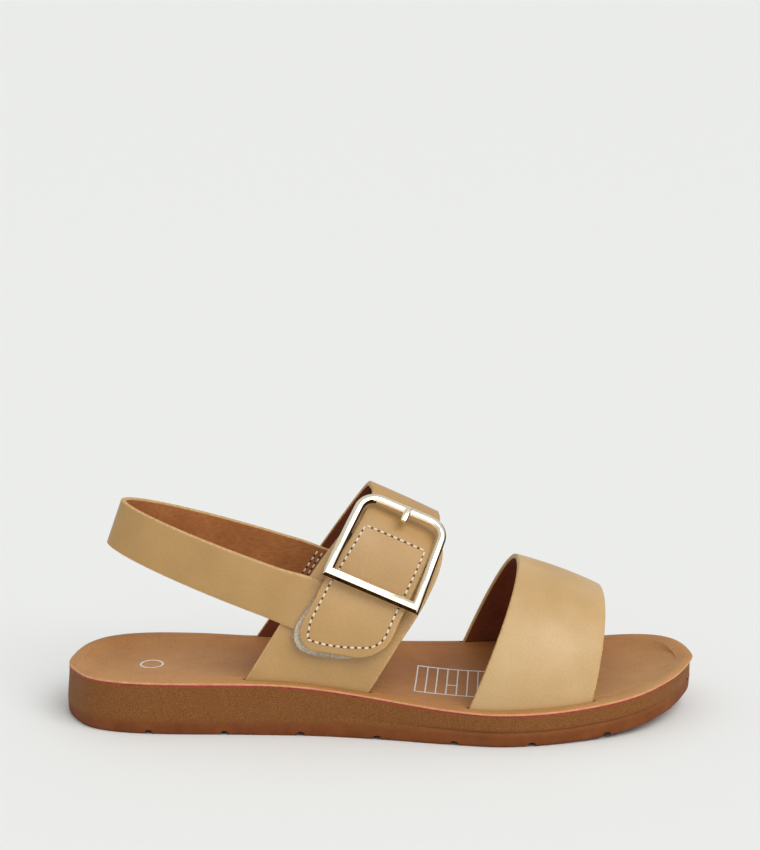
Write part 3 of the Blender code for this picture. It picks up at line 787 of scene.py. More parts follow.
def make_sole(rubber):
    turns = rib_turns()
    heights, insets = wall_rows()
    raised = 2 * GAP
    columns = []
    for side, order in (("lateral", 1), ("medial", -1)):
        rows = []
        for height, inset in zip(heights, insets):
            low = plan_point(turns, side, inset)
            high = top_point(turns, side, inset)
            share = smoothstep((height - 0.2) / 0.8)
            x, y = low[0] + (high[0] - low[0]) * share, low[1]
            crease = CREASE * smoothstep((x - CREASE_START) / CREASE_FADE)
            y = y - np.sign(y) * crease * np.exp(-((height - CREASE_PLACE) / CREASE_REACH) ** 2)
            z = ground(x) + height * (sole_thickness(x) + raised)
            rows.append(np.stack((x, y, z), axis=-1))
        columns += rows[::order]
    top = dished(turns, lambda x: sole_top(x) + raised)
    rings = np.stack(columns + top[::-1], axis=1)
    sole = loft("sole", rings, [rubber])
    cut(sole, groove_bars())
    return dress(sole, "sole", "sole")


def groove_bars():
    """Bars across the tread, wider at the mouth, joined as one cutter."""
    points, faces = [], []
    for i in range(GROOVES):
        x = GROOVE_MIDDLE + (i - (GROOVES - 1) / 2) * GROOVE_PITCH
        slope = (ground(x + GROOVE_MOUTH) - ground(x - GROOVE_MOUTH)) / (2 * GROOVE_MOUTH)
        flare = (GROOVE_MOUTH - GROOVE_ROOF) / 2 / GROOVE_DEPTH
        profile = []
        for height, sign in ((-OVERCUT, -1), (-OVERCUT, 1), (GROOVE_DEPTH * 0.75, 1), (GROOVE_DEPTH, 0.6),
                             (GROOVE_DEPTH, -0.6), (GROOVE_DEPTH * 0.75, -1)):
            half = GROOVE_ROOF / 2 + (GROOVE_DEPTH - height) * flare
            profile.append((x + sign * half - slope * height, ground(x) + height + slope * sign * half))
        add_tube(points, faces, [[(px, y, pz) for px, pz in profile] for y in (-BALL_WIDTH, BALL_WIDTH)])
    return new_object("groove_bars", points, faces, [], smooth=False)


BED_COLUMNS = np.concatenate((np.linspace(-1.0, -0.88, 7), np.linspace(-0.84, 0.84, 20),
                              np.linspace(0.88, 1.0, 7)))


def dished(turn, height):
    """Points across a layer inside its rim, dished, with the arch raised on the inner side."""
    x, lateral = top_point(turn, "lateral", RIM_INSET)
    medial = top_point(turn, "medial", RIM_INSET)[1]
    rows = []
    for column in BED_COLUMNS:
        y = (lateral + medial) / 2 + column * (medial - lateral) / 2
        dish = DISH_DEPTH * (1 - column * column) * np.minimum(1.0, 2 * np.sin(turn))
        arch = ARCH_LIFT * smoothstep(1 - np.abs(x - ARCH_MIDDLE) / ARCH_REACH) * smoothstep(column)
        rows.append(np.stack((x, y, height(x) - dish + arch * (1 - column * column)), axis=-1))
    return rows


def layer_rows(turn, height):
    """Rows of points across a whole layer, from the lateral edge to the medial."""
    edges = []
    for side in ("lateral", "medial"):
        x, y = top_point(turn, side)
        edges.append(np.stack((x, y, height(x)), axis=-1))
    return edges[:1] + dished(turn, height) + edges[1:]


def medial_rim(turn):
    """The extra height of the rim along the inner side, which fades at the heel and the toe."""
    return MEDIAL_RIM * smoothstep(MEDIAL_RIM_START * turn) * smoothstep(MEDIAL_RIM_START * (pi - turn))


def make_board(edge):
    turns = rib_turns()

    def low(x):
        return sole_top(x) + 2 * GAP

    rings = np.stack(layer_rows(turns, low) + layer_rows(turns, bed_bottom)[::-1], axis=1)
    return dress(loft("insole_board", rings, [edge]), "edge_band", "insole_board")


def make_footbed(cover, edge):
    turns = rib_turns()
    shares = np.concatenate((np.linspace(0.0, 0.12, 4), np.linspace(0.18, 0.9, 8)))
    rims = {}
    for side in ("lateral", "medial"):
        rows = []
        for share in shares:
            height = RIM_HEIGHT + (medial_rim(turns) if side == "medial" else 0.0)
            x, y = top_point(turns, side, share * RIM_INSET)
            flare = smoothstep((x - TOE_FLARE_START) / (LENGTH / 2 - TOE_FLARE_START))
            rise = read_curve(BED_EDGE, "height", share)
            z = bed_bottom(x) + EDGE_THICKNESS + rise * (height + TOE_RISE * (1 - share) * flare)
            x = x + TOE_FLARE * (1 - share) * flare
            rows.append(np.stack((x, y, z), axis=-1))
        rims[side] = rows
    top = rims["lateral"] + dished_top(turns) + rims["medial"][::-1]
    bottom = layer_rows(turns, bed_bottom)[::-1]
    rings = np.stack(top + bottom, axis=1)
    strips = [0] * (len(top) - 1) + [1] * (len(bottom) + 1)
    strips[0] = strips[len(top) - 2] = 1
    footbed = loft("footbed", rings, [cover, edge], strips)
    cut(footbed, slit_cutters())
    return dress(footbed, "footbed", "footbed")


def dished_top(turns):
    """The footbed's surface inside the rim, with a pressed line along each side of its dish."""
    rows = dished(turns, rim_top)
    lift = medial_rim(turns)
    for row, column in zip(rows, BED_COLUMNS):
        line = PRESSED_DEPTH * np.exp(-((abs(column) - PRESSED_PLACE) / PRESSED_REACH) ** 2)
        line = line * smoothstep((np.sin(turns) - 0.4) / 0.3)
        row[:, 2] += lift * smoothstep((column - 0.5) / 0.5) - line
    return rows


def slit_cutters():
    """Four slits through the footbed's cover, a little wider and longer than the strap feet."""
    points, faces = [], []
    for arch in (FRONT_ARCH, INSTEP_ARCH):
        for side in ("lateral", "medial"):
            edges = arch[0]
            width = (edges[2].foot_x - edges[0].foot_x) * LENGTH
            across = np.linspace(-SLIT_RUN / width, 1 + SLIT_RUN / width, 25)
            middle = STRAP_WALL / 2
            taper = 1 - 0.9 * np.maximum(0, np.abs(2 * across - 1) - 1) * width / SLIT_RUN / 2
            rows = []
            for lift, drop in ((-SLIT_PLAY, SLIT_DEPTH), (-SLIT_PLAY, -SLIT_RISE),
                               (STRAP_WALL + SLIT_PLAY, -SLIT_RISE), (STRAP_WALL + SLIT_PLAY, SLIT_DEPTH)):
                rows.append(foot_point(arch, side, across, middle + (lift - middle) * taper, drop))
            add_tube(points, faces, np.stack(rows, axis=1).tolist())
    return new_object("slit_cutters", points, faces, [], smooth=False)


# Straps

Section = namedtuple("Section", "share tuck layer")


def band_section(columns):
    """A strap's cross-section: shares across it, tucks in from its edges, and heights."""
    radius = EDGE_RADIUS
    shares = [i / columns for i in range(columns + 1)]
    half = [(share, radius * (1 - 2 * share), STRAP_WALL) for share in shares]
    swings = [pi / 2 * i / ROUND_STEPS for i in range(ROUND_STEPS + 1)]
    for swing in swings[1:]:
        half.append((1.0, -radius * (1 - sin(swing)), STRAP_WALL - radius * (1 - cos(swing))))
    for swing in swings[:-1]:
        half.append((1.0, -radius * (1 - cos(swing)), radius * (1 - sin(swing))))
    turned = [(1 - share, -tuck, STRAP_WALL - layer) for share, tuck, layer in half]
    edge = [1] * (2 * ROUND_STEPS + 1)
    strips = [0] * columns + edge + [2] * columns + edge
    return Section(*np.array(half + turned).T), strips


def strap_ring(arch, rows, turn, section, trim=0.0, squash=1.0):
    """One ring of points round a strap's cross-section at a turn of its arch."""
    crossed = arch_scale(arch, turn)[1]
    rear = read_curve(rows, "rear", turn) + trim / crossed
    front = read_curve(rows, "front", turn) - trim / crossed
    middle = STRAP_WALL / 2
    layer = middle + (section.layer - middle) * squash
    across = rear + (front - rear) * section.share + section.tuck / crossed
    return arch_point(arch, turn, across, read_curve(rows, "lift", turn) * STRAP_WALL + layer)


def foot_rings(arch, side, section):
    """Rings where a strap's foot goes down into its slit, from the footbed's rim downward."""
    edges = arch[0]
    width = (edges[2].foot_x - edges[0].foot_x) * LENGTH
    across = section.share + section.tuck / width
    drops = np.linspace(0.0, FOOT_DROP, FOOT_STEPS + 1)[1:]
    return [foot_point(arch, side, across, section.layer, drop) for drop in drops]


def make_strap(name, node, arch, rows, turns, materials, end=(), medial_foot=True):
    """A strap along its arch, which starts in a slot or at a rounded free end."""
    section, strips = band_section(ACROSS_STEPS)
    rings = [strap_ring(arch, rows, turn, section, trim, squash) for turn, trim, squash in end]
    if not end:
        rings = foot_rings(arch, "lateral", section)[::-1]
    rings += [strap_ring(arch, rows, turn, section) for turn in turns]
    if medial_foot:
        rings += foot_rings(arch, "medial", section)
    return dress(loft(name, rings, materials, strips), "strap_leather", node)


def make_front_strap(materials):
    turns = np.linspace(0.0, 1.0, ARCH_STEPS + 1)
    return make_strap("front_strap", "front_strap", FRONT_ARCH, FRONT_ROWS, turns, materials)


def rounded_end(start_turn, corner, grow=0.0):
    """Turns, trims and squashes that round a strap's free end in plan and along its edge."""
    turned = arch_scale(INSTEP_ARCH, start_turn)[0]
    ends = []
    for i in range(CORNER_STEPS + 1):
        swing = pi / 2 * i / CORNER_STEPS
        trim = corner * (1 - sin(swing))
        distance = corner * (1 - cos(swing))
        inside = min(distance, EDGE_RADIUS)
        depth = np.sqrt(EDGE_RADIUS ** 2 - (EDGE_RADIUS - inside) ** 2)
        squash = (STRAP_WALL - 2 * EDGE_RADIUS + 2 * depth) / STRAP_WALL
        ends.append((start_turn + (distance - grow) / turned, trim - grow, squash))
    return ends


def make_instep_strap(materials):
    """The strap from its round tab through the buckle and over to the inner side."""
    end = rounded_end(STRAP_ROWS[0].turn, TAB_CORNER)
    turns = np.linspace(end[-1][0], 1.0, ARCH_STEPS + 1)[1:]
    return make_strap("instep_strap", "upper", INSTEP_ARCH, STRAP_ROWS, turns, materials, end)


def make_quarter(materials):
    turns = np.linspace(0.0, QUARTER_ROWS[-1].turn, ARCH_STEPS // 2)
    return make_strap("quarter", "upper", INSTEP_ARCH, QUARTER_ROWS, turns, materials, medial_foot=False)


def wall_point(x, z, side, lift):
    """Points of the instep form at given x and z, found by stepping towards them."""
    turn = np.full(x.shape, 0.18 if side == "lateral" else 0.82)
    across = np.full(x.shape, 0.2)
    step = 0.002
    for _ in range(8):
        here = arch_point(INSTEP_ARCH, turn, across, lift)
        by_turn = (arch_point(INSTEP_ARCH, turn + step, across, lift) - here) / step
        by_across = (arch_point(INSTEP_ARCH, turn, across + step, lift) - here) / step
        miss_x, miss_z = x - here[..., 0], z - here[..., 2]
        scale = by_turn[..., 0] * by_across[..., 2] - by_turn[..., 2] * by_across[..., 0]
        turn = turn + (miss_x * by_across[..., 2] - miss_z * by_across[..., 0]) / scale
        across = across + (by_turn[..., 0] * miss_z - by_turn[..., 2] * miss_x) / scale
    return arch_point(INSTEP_ARCH, turn, across, lift)


class Sling:
    """The flat band in a tilted plane, whose ends follow the walls that they are sewn to."""

    def __init__(self):
        self.lifts = {"lateral": (STRAP_WALL - SEAM_BITE, 2 * STRAP_WALL - SEAM_BITE),
                      "medial": (SEAM_BITE - STRAP_WALL, SEAM_BITE)}
        ends = {}
        for side, x, z in (("lateral", SLING_LATERAL_X, SLING_LATERAL_Z),
                           ("medial", SLING_MEDIAL_X, SLING_MEDIAL_Z)):
            lift = np.array([sum(self.lifts[side]) / 2])
            ends[side] = wall_point(np.array([x]), np.array([z]), side, lift)[0]
        self.middle = (ends["lateral"] + ends["medial"]) / 2
        self.half = (ends["medial"] - ends["lateral"]) / 2
        self.back = np.array((-cos(SLING_TILT), 0.0, sin(SLING_TILT)))
        self.rise = np.array((sin(SLING_TILT), 0.0, cos(SLING_TILT)))

    def loop_line(self, angle):
        """Reach and swing of the loop's middle line at an angle from 0 to pi."""
        reach = SLING_REACH * abs(sin(angle)) ** (2 / SLING_POWER)
        swing = -abs(cos(angle)) ** (2 / SLING_POWER) * (1 if angle < pi / 2 else -1)
        return reach, swing

    def station(self, kind, place):
        """The middle line's point, its outward direction and the side that it is on."""
        if kind == "loop":
            reach, swing = self.loop_line(place)
            ends = [self.loop_line(min(pi, max(0.0, place + step))) for step in (-0.01, 0.01)]
            along = (ends[1][0] - ends[0][0]) * self.back
            along = along + np.array((0.0, (ends[1][1] - ends[0][1]) * self.half[1], 0.0))
            normal = unit(np.cross(self.rise, along))
        else:
            reach, swing = place, (-1.0 if kind == "lateral" else 1.0)
            normal = np.array((0.0, swing, 0.0))
        line = self.middle + swing * self.half + reach * self.back
        return line, normal, ("lateral" if swing < 0 else "medial"), reach

    def points(self, kind, place, offset, layer):
        """Points at offsets up the band and at heights from its inner face."""
        line, normal, side, reach = self.station(kind, place)
        offset = offset * (1 - SLING_TAPER * reach / SLING_REACH)
        points = line + offset[:, None] * self.rise + (layer - STRAP_WALL / 2)[:, None] * normal
        settle = float(smoothstep(1 - max(0.0, reach) / SLING_SETTLE))
        if settle > 0:
            low = self.lifts[side][0]
            wall = wall_point(points[:, 0], points[:, 2], side, low + layer)
            points[:, 1] += settle * (wall[:, 1] - points[:, 1])
        return points


def make_sling(sling, materials):
    section, strips = band_section(SLING_COLUMNS)
    offset = (section.share - 0.5) * SLING_WIDTH + section.tuck
    stations = [("lateral", -SLING_LATERAL_LAP * (1 - i / LATERAL_LAP_STEPS))
                for i in range(LATERAL_LAP_STEPS)]
    stations += [("loop", angle) for angle in np.linspace(0.0, pi, SLING_STEPS + 1)]
    stations += [("medial", -SLING_MEDIAL_LAP * (i + 1) / MEDIAL_LAP_STEPS)
                 for i in range(MEDIAL_LAP_STEPS)]
    rings = [sling.points(kind, place, offset, section.layer) for kind, place in stations]
    return dress(loft("sling", rings, materials, strips), "strap_leather", "upper")


def make_tape(material):
    """Loop tape between the tab and what lies under it, with its fuzzy edge showing."""
    ends = rounded_end(STRAP_ROWS[0].turn, TAB_CORNER, PATCH_SHOW)
    start = ends[-1][0]
    crossed = arch_scale(INSTEP_ARCH, start)[1]
    rows = [(turn, trim) for turn, trim, squash in ends]
    rows += [(start + (PATCH_TOP - start) * share, -PATCH_SHOW * (1 - share))
             for share in np.linspace(0.0, 1.0, 20)[1:]]
    top = STRAP_ROWS[0].lift * STRAP_WALL - GAP
    share = np.linspace(0.0, 1.0, 40)
    rings = []
    for turn, trim in rows:
        rear = read_curve(STRAP_ROWS, "rear", turn) + trim / crossed
        front = read_curve(STRAP_ROWS, "front", turn) - (max(trim, 0.0) + PATCH_FRONT_INSET) / crossed
        across = rear + (front - rear) * share
        step = smoothstep((across - PATCH_STEP_START) / PATCH_STEP_WIDTH)
        floor = 2 * STRAP_WALL - SEAM_BITE + GAP - step * (STRAP_WALL - SEAM_BITE)
        low = arch_point(INSTEP_ARCH, turn, across, floor)
        high = arch_point(INSTEP_ARCH, turn, across, np.full(share.shape, top))
        rings.append(np.concatenate((low, high[::-1])))
    dress(make_fibres(np.array(rings), material), "hook_and_loop")
    return dress(loft("tape_patch", rings, [material]), "hook_and_loop", "tape_patch")


def make_fibres(rings, material):
    """Fine fibres that stand out from the tape's edge below and behind the tab, as thin spikes."""
    chance = np.random.default_rng(7)
    count = rings.shape[1] // 2
    centre = rings[len(rings) // 3].mean(axis=0)
    low = np.concatenate((rings[0, :count], rings[1:, 0]))
    high = np.concatenate((rings[0, count:][::-1], rings[1:, -1]))
    picks = chance.integers(0, len(low), FIBRES)
    share = chance.random((FIBRES, 1))
    roots = low[picks] * share + high[picks] * (1 - share)
    roots += chance.normal(0.0, FIBRE_SCATTER, (FIBRES, 3))
    directions = unit(unit(roots - centre) + chance.normal(0.0, FIBRE_SPREAD, (FIBRES, 3)))
    sides = unit(np.cross(directions, chance.normal(0.0, 1.0, (FIBRES, 3))))
    others = np.cross(directions, sides)
    lengths = FIBRE_LENGTH * (0.5 + chance.random((FIBRES, 1)))
    points, faces = [], []
    for root, direction, side, other, length in zip(roots, directions, sides, others, lengths):
        start = len(points)
        for angle in (0.0, 2 * pi / 3, 4 * pi / 3):
            spread = cos(angle) * side + sin(angle) * other
            points.append(root - FIBRE_ROOT * direction + FIBRE_THICKNESS / 2 * spread)
        points.append(root + length * direction)
        faces += [(start, start + 1, start + 3), (start + 1, start + 2, start + 3),
                  (start + 2, start, start + 3), (start + 2, start + 1, start)]
    return new_object("tape_fibres", points, faces, [material])


# Stitches

def resample(points, pitch):
    """Points at an even pitch along a line, with the line's direction at each."""
    points = np.asarray(points)
    steps = np.linalg.norm(np.diff(points, axis=0), axis=1)
    along = np.concatenate(([0.0], np.cumsum(steps)))
    count = max(1, round(along[-1] / pitch))
    places = (np.arange(count) + 0.5) * along[-1] / count
    out = np.stack([np.interp(places, along, points[:, k]) for k in range(3)], axis=-1)
    ahead = np.stack([np.interp(places + 0.0004, along, points[:, k]) for k in range(3)], axis=-1)
    behind = np.stack([np.interp(places - 0.0004, along, points[:, k]) for k in range(3)], axis=-1)
    return out, unit(ahead - behind)


def beads(name, centres, directions, ups, length, thickness, material, flat=1.0):
    """Small rounded bars laid along a line, joined in one mesh."""
    points, faces = [], []
    angles = [2 * pi * j / BEAD_SIDES for j in range(BEAD_SIDES)]
    for centre, direction, up in zip(centres, directions, ups):
        side = unit(np.cross(direction, up))
        up = unit(np.cross(side, direction))
        rings = []
        for i in range(BEAD_STEPS + 1):
            swing = pi * i / BEAD_STEPS
            middle = centre - cos(swing) * length / 2 * direction
            radius = max(0.02, sin(swing) ** 0.6) * thickness / 2
            rings.append([middle + radius * cos(angle) * side + radius * flat * sin(angle) * up
                          for angle in angles])
        add_tube(points, faces, rings)
    return new_object(name, points, faces, [material])


def stitch_line(name, points, normals_at, materials):
    """A row of stitches on a line, with a needle hole between each two, drawn as a flat dark mark: painted
    shade of the hole.
    """
    light, dark = materials
    centres, directions = resample(points, STITCH_PITCH)
    ups = normals_at(centres)
    stitches = beads(name, centres + ups * STITCH_THICKNESS * 0.18, directions, ups,
                     STITCH_LENGTH, STITCH_THICKNESS, light, 0.75)
    middles = (centres[1:] + centres[:-1]) / 2
    # flat dark marks at the needle holes: painted shade
    hole_shades = beads(name + "_hole_shades", middles - ups[1:] * HOLE_LENGTH * 0.02, directions[1:], ups[1:],
                  HOLE_LENGTH, STITCH_THICKNESS * 1.25, dark, 0.16)
    dress(stitches, "strap_leather")
    dress(hole_shades, "strap_leather")


def strap_surface(turn, across):
    lift = (read_curve(STRAP_ROWS, "lift", turn) + 1) * STRAP_WALL
    return arch_point(INSTEP_ARCH, turn, across, lift)


TAB_STITCH_REAR = 0.0027
TAB_STITCH_FRONT = 0.0026
TAB_STITCH_END = 0.0046
TAB_STITCH_CORNER = 0.0075
TAB_STITCH_SAG = 0.0013
TAB_STITCH_DRIFT = 0.0022
DRIFT_START = 0.12
DRIFT_REACH = 0.04
SLING_STITCH_SLANT = 0.0042
SLING_STITCH_SPAN = 0.84
SLING_STITCH_ROWS = (("sling_stitches_front", -0.0031), ("sling_stitches_rear", -0.0010))
BOX_TURN_REAR = 0.313
BOX_TURN_FRONT = 0.301


def tab_stitch_path():
    """The stitched outline of the tab, up both sides to a row across under the buckle's head."""
    end_turn = STRAP_ROWS[0].turn
    turned, crossed = arch_scale(INSTEP_ARCH, end_turn)
    low = end_turn + TAB_STITCH_END / turned
    path = []

    def inside(edge, turn, inset):
        return read_curve(STRAP_ROWS, edge, turn) + inset / arch_scale(INSTEP_ARCH, turn)[1]

    for turn in np.linspace(BOX_TURN_REAR, low, 60):
        inset = TAB_STITCH_REAR + TAB_STITCH_DRIFT * float(smoothstep((DRIFT_START - turn) / DRIFT_REACH))
        path.append((turn, inside("rear", turn, inset)))
    corner = TAB_STITCH_CORNER
    straight = np.linspace(0.0, 1.0, 20)
    left = path[-1][1]
    right = inside("front", low, -TAB_STITCH_FRONT) - corner / crossed
    for share in straight[1:]:
        sag = TAB_STITCH_SAG * 4 * share * (1 - share)
        path.append((low - sag / turned, left + (right - left) * share))
    for swing in np.linspace(0.0, pi / 2, 16)[1:]:
        turn = low + corner * (1 - cos(swing)) / turned
        path.append((turn, inside("front", turn, -TAB_STITCH_FRONT - corner * (1 - sin(swing)))))
    for turn in np.linspace(path[-1][0], BOX_TURN_FRONT, 60)[1:]:
        path.append((turn, inside("front", turn, -TAB_STITCH_FRONT)))
    return path


def make_tab_stitches(materials):
    surface_tree = tree_of(bpy.data.objects["instep_strap"])

    def normals_at(points):
        return np.array([surface_tree.find_nearest(Vector(point))[1] for point in points])

    path = tab_stitch_path()
    outline = strap_surface(np.array([turn for turn, across in path]),
                            np.array([across for turn, across in path]))
    stitch_line("tab_stitches", outline, normals_at, materials)
    share = np.linspace(0.0, 1.0, 40)
    turn = path[0][0] + (path[-1][0] - path[0][0]) * share
    across = path[0][1] + (path[-1][1] - path[0][1]) * share
    stitch_line("box_stitches", strap_surface(turn, across), normals_at, materials)


def tree_of(piece):
    mesh = bmesh.new()
    mesh.from_mesh(piece.data)
    tree = BVHTree.FromBMesh(mesh)
    mesh.free()
    return tree


def make_sling_stitches(sling, materials):
    """Two short slanting rows across the sling's inner end, where it is sewn to the strap."""
    normal = sling.station("medial", 0.0)[1]

    def normals_at(centres):
        return np.tile(-normal, (len(centres), 1))

    for name, place in SLING_STITCH_ROWS:
        points = []
        for share in np.linspace(0.0, 1.0, 30):
            offset = np.array([(0.5 - share) * SLING_STITCH_SPAN * SLING_WIDTH])
            slanted = place + SLING_STITCH_SLANT * share
            points += sling.points("medial", slanted, offset, np.zeros(1)).tolist()
        stitch_line(name, points, normals_at, materials)


# Buckle

def buckle_axes():
    """The middle of the buckle, and its directions along the bars, up the strap and outward."""
    def bar_point(turn, across, play):
        lift = (read_curve(STRAP_ROWS, "lift", turn) + 1) * STRAP_WALL
        return arch_point(INSTEP_ARCH, turn, across, lift + play + BUCKLE_THICKNESS / 2)

    foot = bar_point(BUCKLE_FOOT_TURN, BUCKLE_FOOT_ACROSS, BUCKLE_FOOT_PLAY)
    head = bar_point(BUCKLE_HEAD_TURN, BUCKLE_HEAD_ACROSS, BUCKLE_HEAD_PLAY)
    turn = (BUCKLE_FOOT_TURN + BUCKLE_HEAD_TURN) / 2
    across = (BUCKLE_FOOT_ACROSS + BUCKLE_HEAD_ACROSS) / 2
    up = unit(head - foot)
    along = bar_point(turn, across + 0.3, 0) - bar_point(turn, across - 0.3, 0)
    along = unit(along - along.dot(up) * up)
    return (foot + head) / 2, along, up, np.cross(along, up)


def buckle_point(axes, a, b, height):
    """A point of the curved buckle: a along its bars, b up the strap, height outward."""
    middle, along, up, out = axes
    angle = b / BUCKLE_CURVE
    bar = (BUCKLE_HEIGHT - FOOT_BAR) / 2 / BUCKLE_CURVE
    radius = BUCKLE_CURVE + height
    return middle + a * along + radius * sin(angle) * up \
        + (radius * cos(angle) - BUCKLE_CURVE * cos(bar)) * out


def bar_section(width, thickness, bevel=BUCKLE_BEVEL, steps=3):
    """A bar's section with rounded bevels, as offsets across it and outward."""
    w, t = width / 2 - bevel, thickness / 2 - bevel
    points = []
    for centre_w, centre_t, start in ((w, t, 0), (-w, t, 1), (-w, -t, 2), (w, -t, 3)):
        for i in range(steps + 1):
            swing = pi / 2 * (start + i / steps)
            points.append((centre_w + bevel * cos(swing), centre_t + bevel * sin(swing)))
    return points


def buckle_path():
    """The frame's middle line with its outward directions, square at the foot, round above."""
    side = (BUCKLE_WIDTH - SIDE_BAR) / 2
    head_side = (BUCKLE_HEAD_WIDTH - SIDE_BAR) / 2
    foot = -(BUCKLE_HEIGHT - FOOT_BAR) / 2
    head = (BUCKLE_HEIGHT - SIDE_BAR) / 2
    radius = BUCKLE_CORNER - SIDE_BAR / 2

    def flank(sign, share):
        up = foot + (head - radius - foot) * share
        return sign * (side + (head_side - side) * share), up, (sign, 0.0)

    path = [(share * side, foot, (share, -1.0)) for share in (-1.0, 0.0, 1.0)]
    path += [flank(1.0, share) for share in np.linspace(0.0, 1.0, 10)[1:-1]]
    for centre, start in ((head_side - radius, 0.0), (radius - head_side, pi / 2)):
        for i in range(15):
            swing = start + pi / 2 * i / 14
            path.append((centre + radius * cos(swing), head - radius + radius * sin(swing),
                         (cos(swing), sin(swing))))
    return path + [flank(-1.0, share) for share in np.linspace(1.0, 0.0, 10)[1:-1]]


def make_buckle(metal, reflection_metal):
    axes = buckle_axes()
    rings = []
    for a, b, (na, nb) in buckle_path():
        ring = []
        for across, height in bar_section(SIDE_BAR, BUCKLE_THICKNESS, FACE_BEVEL):
            stretch = FOOT_BAR / SIDE_BAR if nb == -1 else 1.0
            ring.append(buckle_point(axes, a + across * na, b + across * nb * stretch, height))
        rings.append(ring)
    metals = [metal, reflection_metal]
    buckle = loft("buckle_frame", rings, metals, closed=True)
    prong = prong_tip(axes, metals)
    for piece in (buckle, prong):
        paint_dark_reflections(piece, axes)
        dress(piece, "gilt_metal", "buckle")
    # The middle bar is all of the dark metal: painted shade under the strap.
    dress(middle_bar(axes, reflection_metal), "gilt_metal", "buckle")


def paint_dark_reflections(piece, axes):
    """Give the dark metal, a painted dark reflection, to the sides toward the toe and to the foot bar's
    lower side.
    """
    for polygon in piece.data.polygons:
        along, up, out = (np.dot(polygon.normal, axis) for axis in axes[1:])
        low = (polygon.center - Vector(axes[0])).dot(Vector(axes[2])) < -BUCKLE_HEIGHT / 4
        under = low and up < -DARK_SIDEWAYS and out > 0.1
        polygon.material_index = int(out < DARK_OUTWARD and (along > DARK_SIDEWAYS or under))


def middle_bar(axes, metal):
    """The bar under the strap, dropped on two posts so that the strap can pass over it."""
    side = (BUCKLE_WIDTH + BUCKLE_HEAD_WIDTH - 2 * SIDE_BAR) / 4
    turn = (BUCKLE_FOOT_TURN + BUCKLE_HEAD_TURN) / 2
    across = (BUCKLE_FOOT_ACROSS + BUCKLE_HEAD_ACROSS) / 2
    seat = arch_point(INSTEP_ARCH, turn, across, STRAP_WALL + MIDDLE_BAR_PLAY)
    low = (seat - buckle_point(axes, 0, 0, 0)).dot(axes[3])
    outer, inner = side + SIDE_BAR / 4, side - SIDE_BAR / 4
    high = low + MIDDLE_BAR_THICKNESS
    profile = ((-outer, 0), (-outer, low), (outer, low), (outer, 0),
               (inner, 0), (inner, high), (-inner, high), (-inner, 0))
    rings = []
    for b in (-MIDDLE_BAR / 2, MIDDLE_BAR / 2):
        rings.append([buckle_point(axes, a, b, height) for a, height in profile])
    return loft("buckle_middle_bar", rings, [metal])


def prong_tip(axes, metals):
    """The cast tip of a prong, lying over the head bar, with rounded edges."""
    head = (BUCKLE_HEIGHT - SIDE_BAR) / 2
    top = BUCKLE_THICKNESS / 2 + PRONG_RISE
    start = head + SIDE_BAR * 0.25
    rings = []
    for share, shrink in ((0.0, 0.80), (0.03, 0.93), (0.08, 1.0), (0.90, 1.0), (0.96, 0.93), (1.0, 0.80)):
        ring = []
        for across, height in bar_section(PRONG_WIDTH, top, PRONG_BEVEL):
            ring.append(buckle_point(axes, PRONG_PLACE + across * shrink, start - share * PRONG_LENGTH,
                                     top / 2 + height * shrink))
        rings.append(ring)
    return loft("buckle_prong", rings, metals)


# Prints on the footbed

RING_X = -0.0916
RING_Y = -0.0047
RING_RADIUS = 0.0048
RING_STRETCH = 1.22
RING_LINE = 0.0008
GRID_X = 0.0135
GRID_Y = -0.0236
GRID_TURN = radians(-3.5)
GRID_CELLS = 7
GRID_CELL = 0.0041
GRID_DEPTH = 0.0345
GRID_LINE = 0.0005
GRID_CROSS_LINE = 0.0011
SPLIT_CELL = 3
SPLIT_PLACE = 0.4


def lay_on_bed(tree, points):
    """Drop flat points on the footbed, with the print's thickness above it."""
    laid = []
    for x, y in points:
        hit = tree.ray_cast(Vector((x, y, 0.05)), Vector((0, 0, -1)))[0]
        laid.append((x, y, hit.z + PRINT_HEIGHT))
    return laid


def make_ring_print(tree, ink):
    points, faces = [], []
    for i in range(RING_STEPS):
        angle = 2 * pi * i / RING_STEPS
        for radius in (RING_RADIUS, RING_RADIUS - RING_LINE):
            points.append((RING_X + radius * cos(angle), RING_Y + RING_STRETCH * radius * sin(angle)))
    for i in range(RING_STEPS):
        here, there = 2 * i, 2 * ((i + 1) % RING_STEPS)
        faces.append((here, there, there + 1, here + 1))
    return dress(new_object("ring_print", lay_on_bed(tree, points), faces, [ink]), "footbed")


def strip(points, faces, start, end, width):
    """A thin flat strip between two plan points, in short steps that can follow the footbed."""
    start, end = np.array(start), np.array(end)
    along = unit(end - start)
    side = np.array((-along[1], along[0])) * width / 2
    steps = max(2, int(np.linalg.norm(end - start) / 0.002))
    first = len(points)
    for i in range(steps + 1):
        place = start + (end - start) * i / steps
        points.append(tuple(place + side))
        points.append(tuple(place - side))
    for i in range(steps):
        here = first + 2 * i
        faces.append((here, here + 1, here + 3, here + 2))


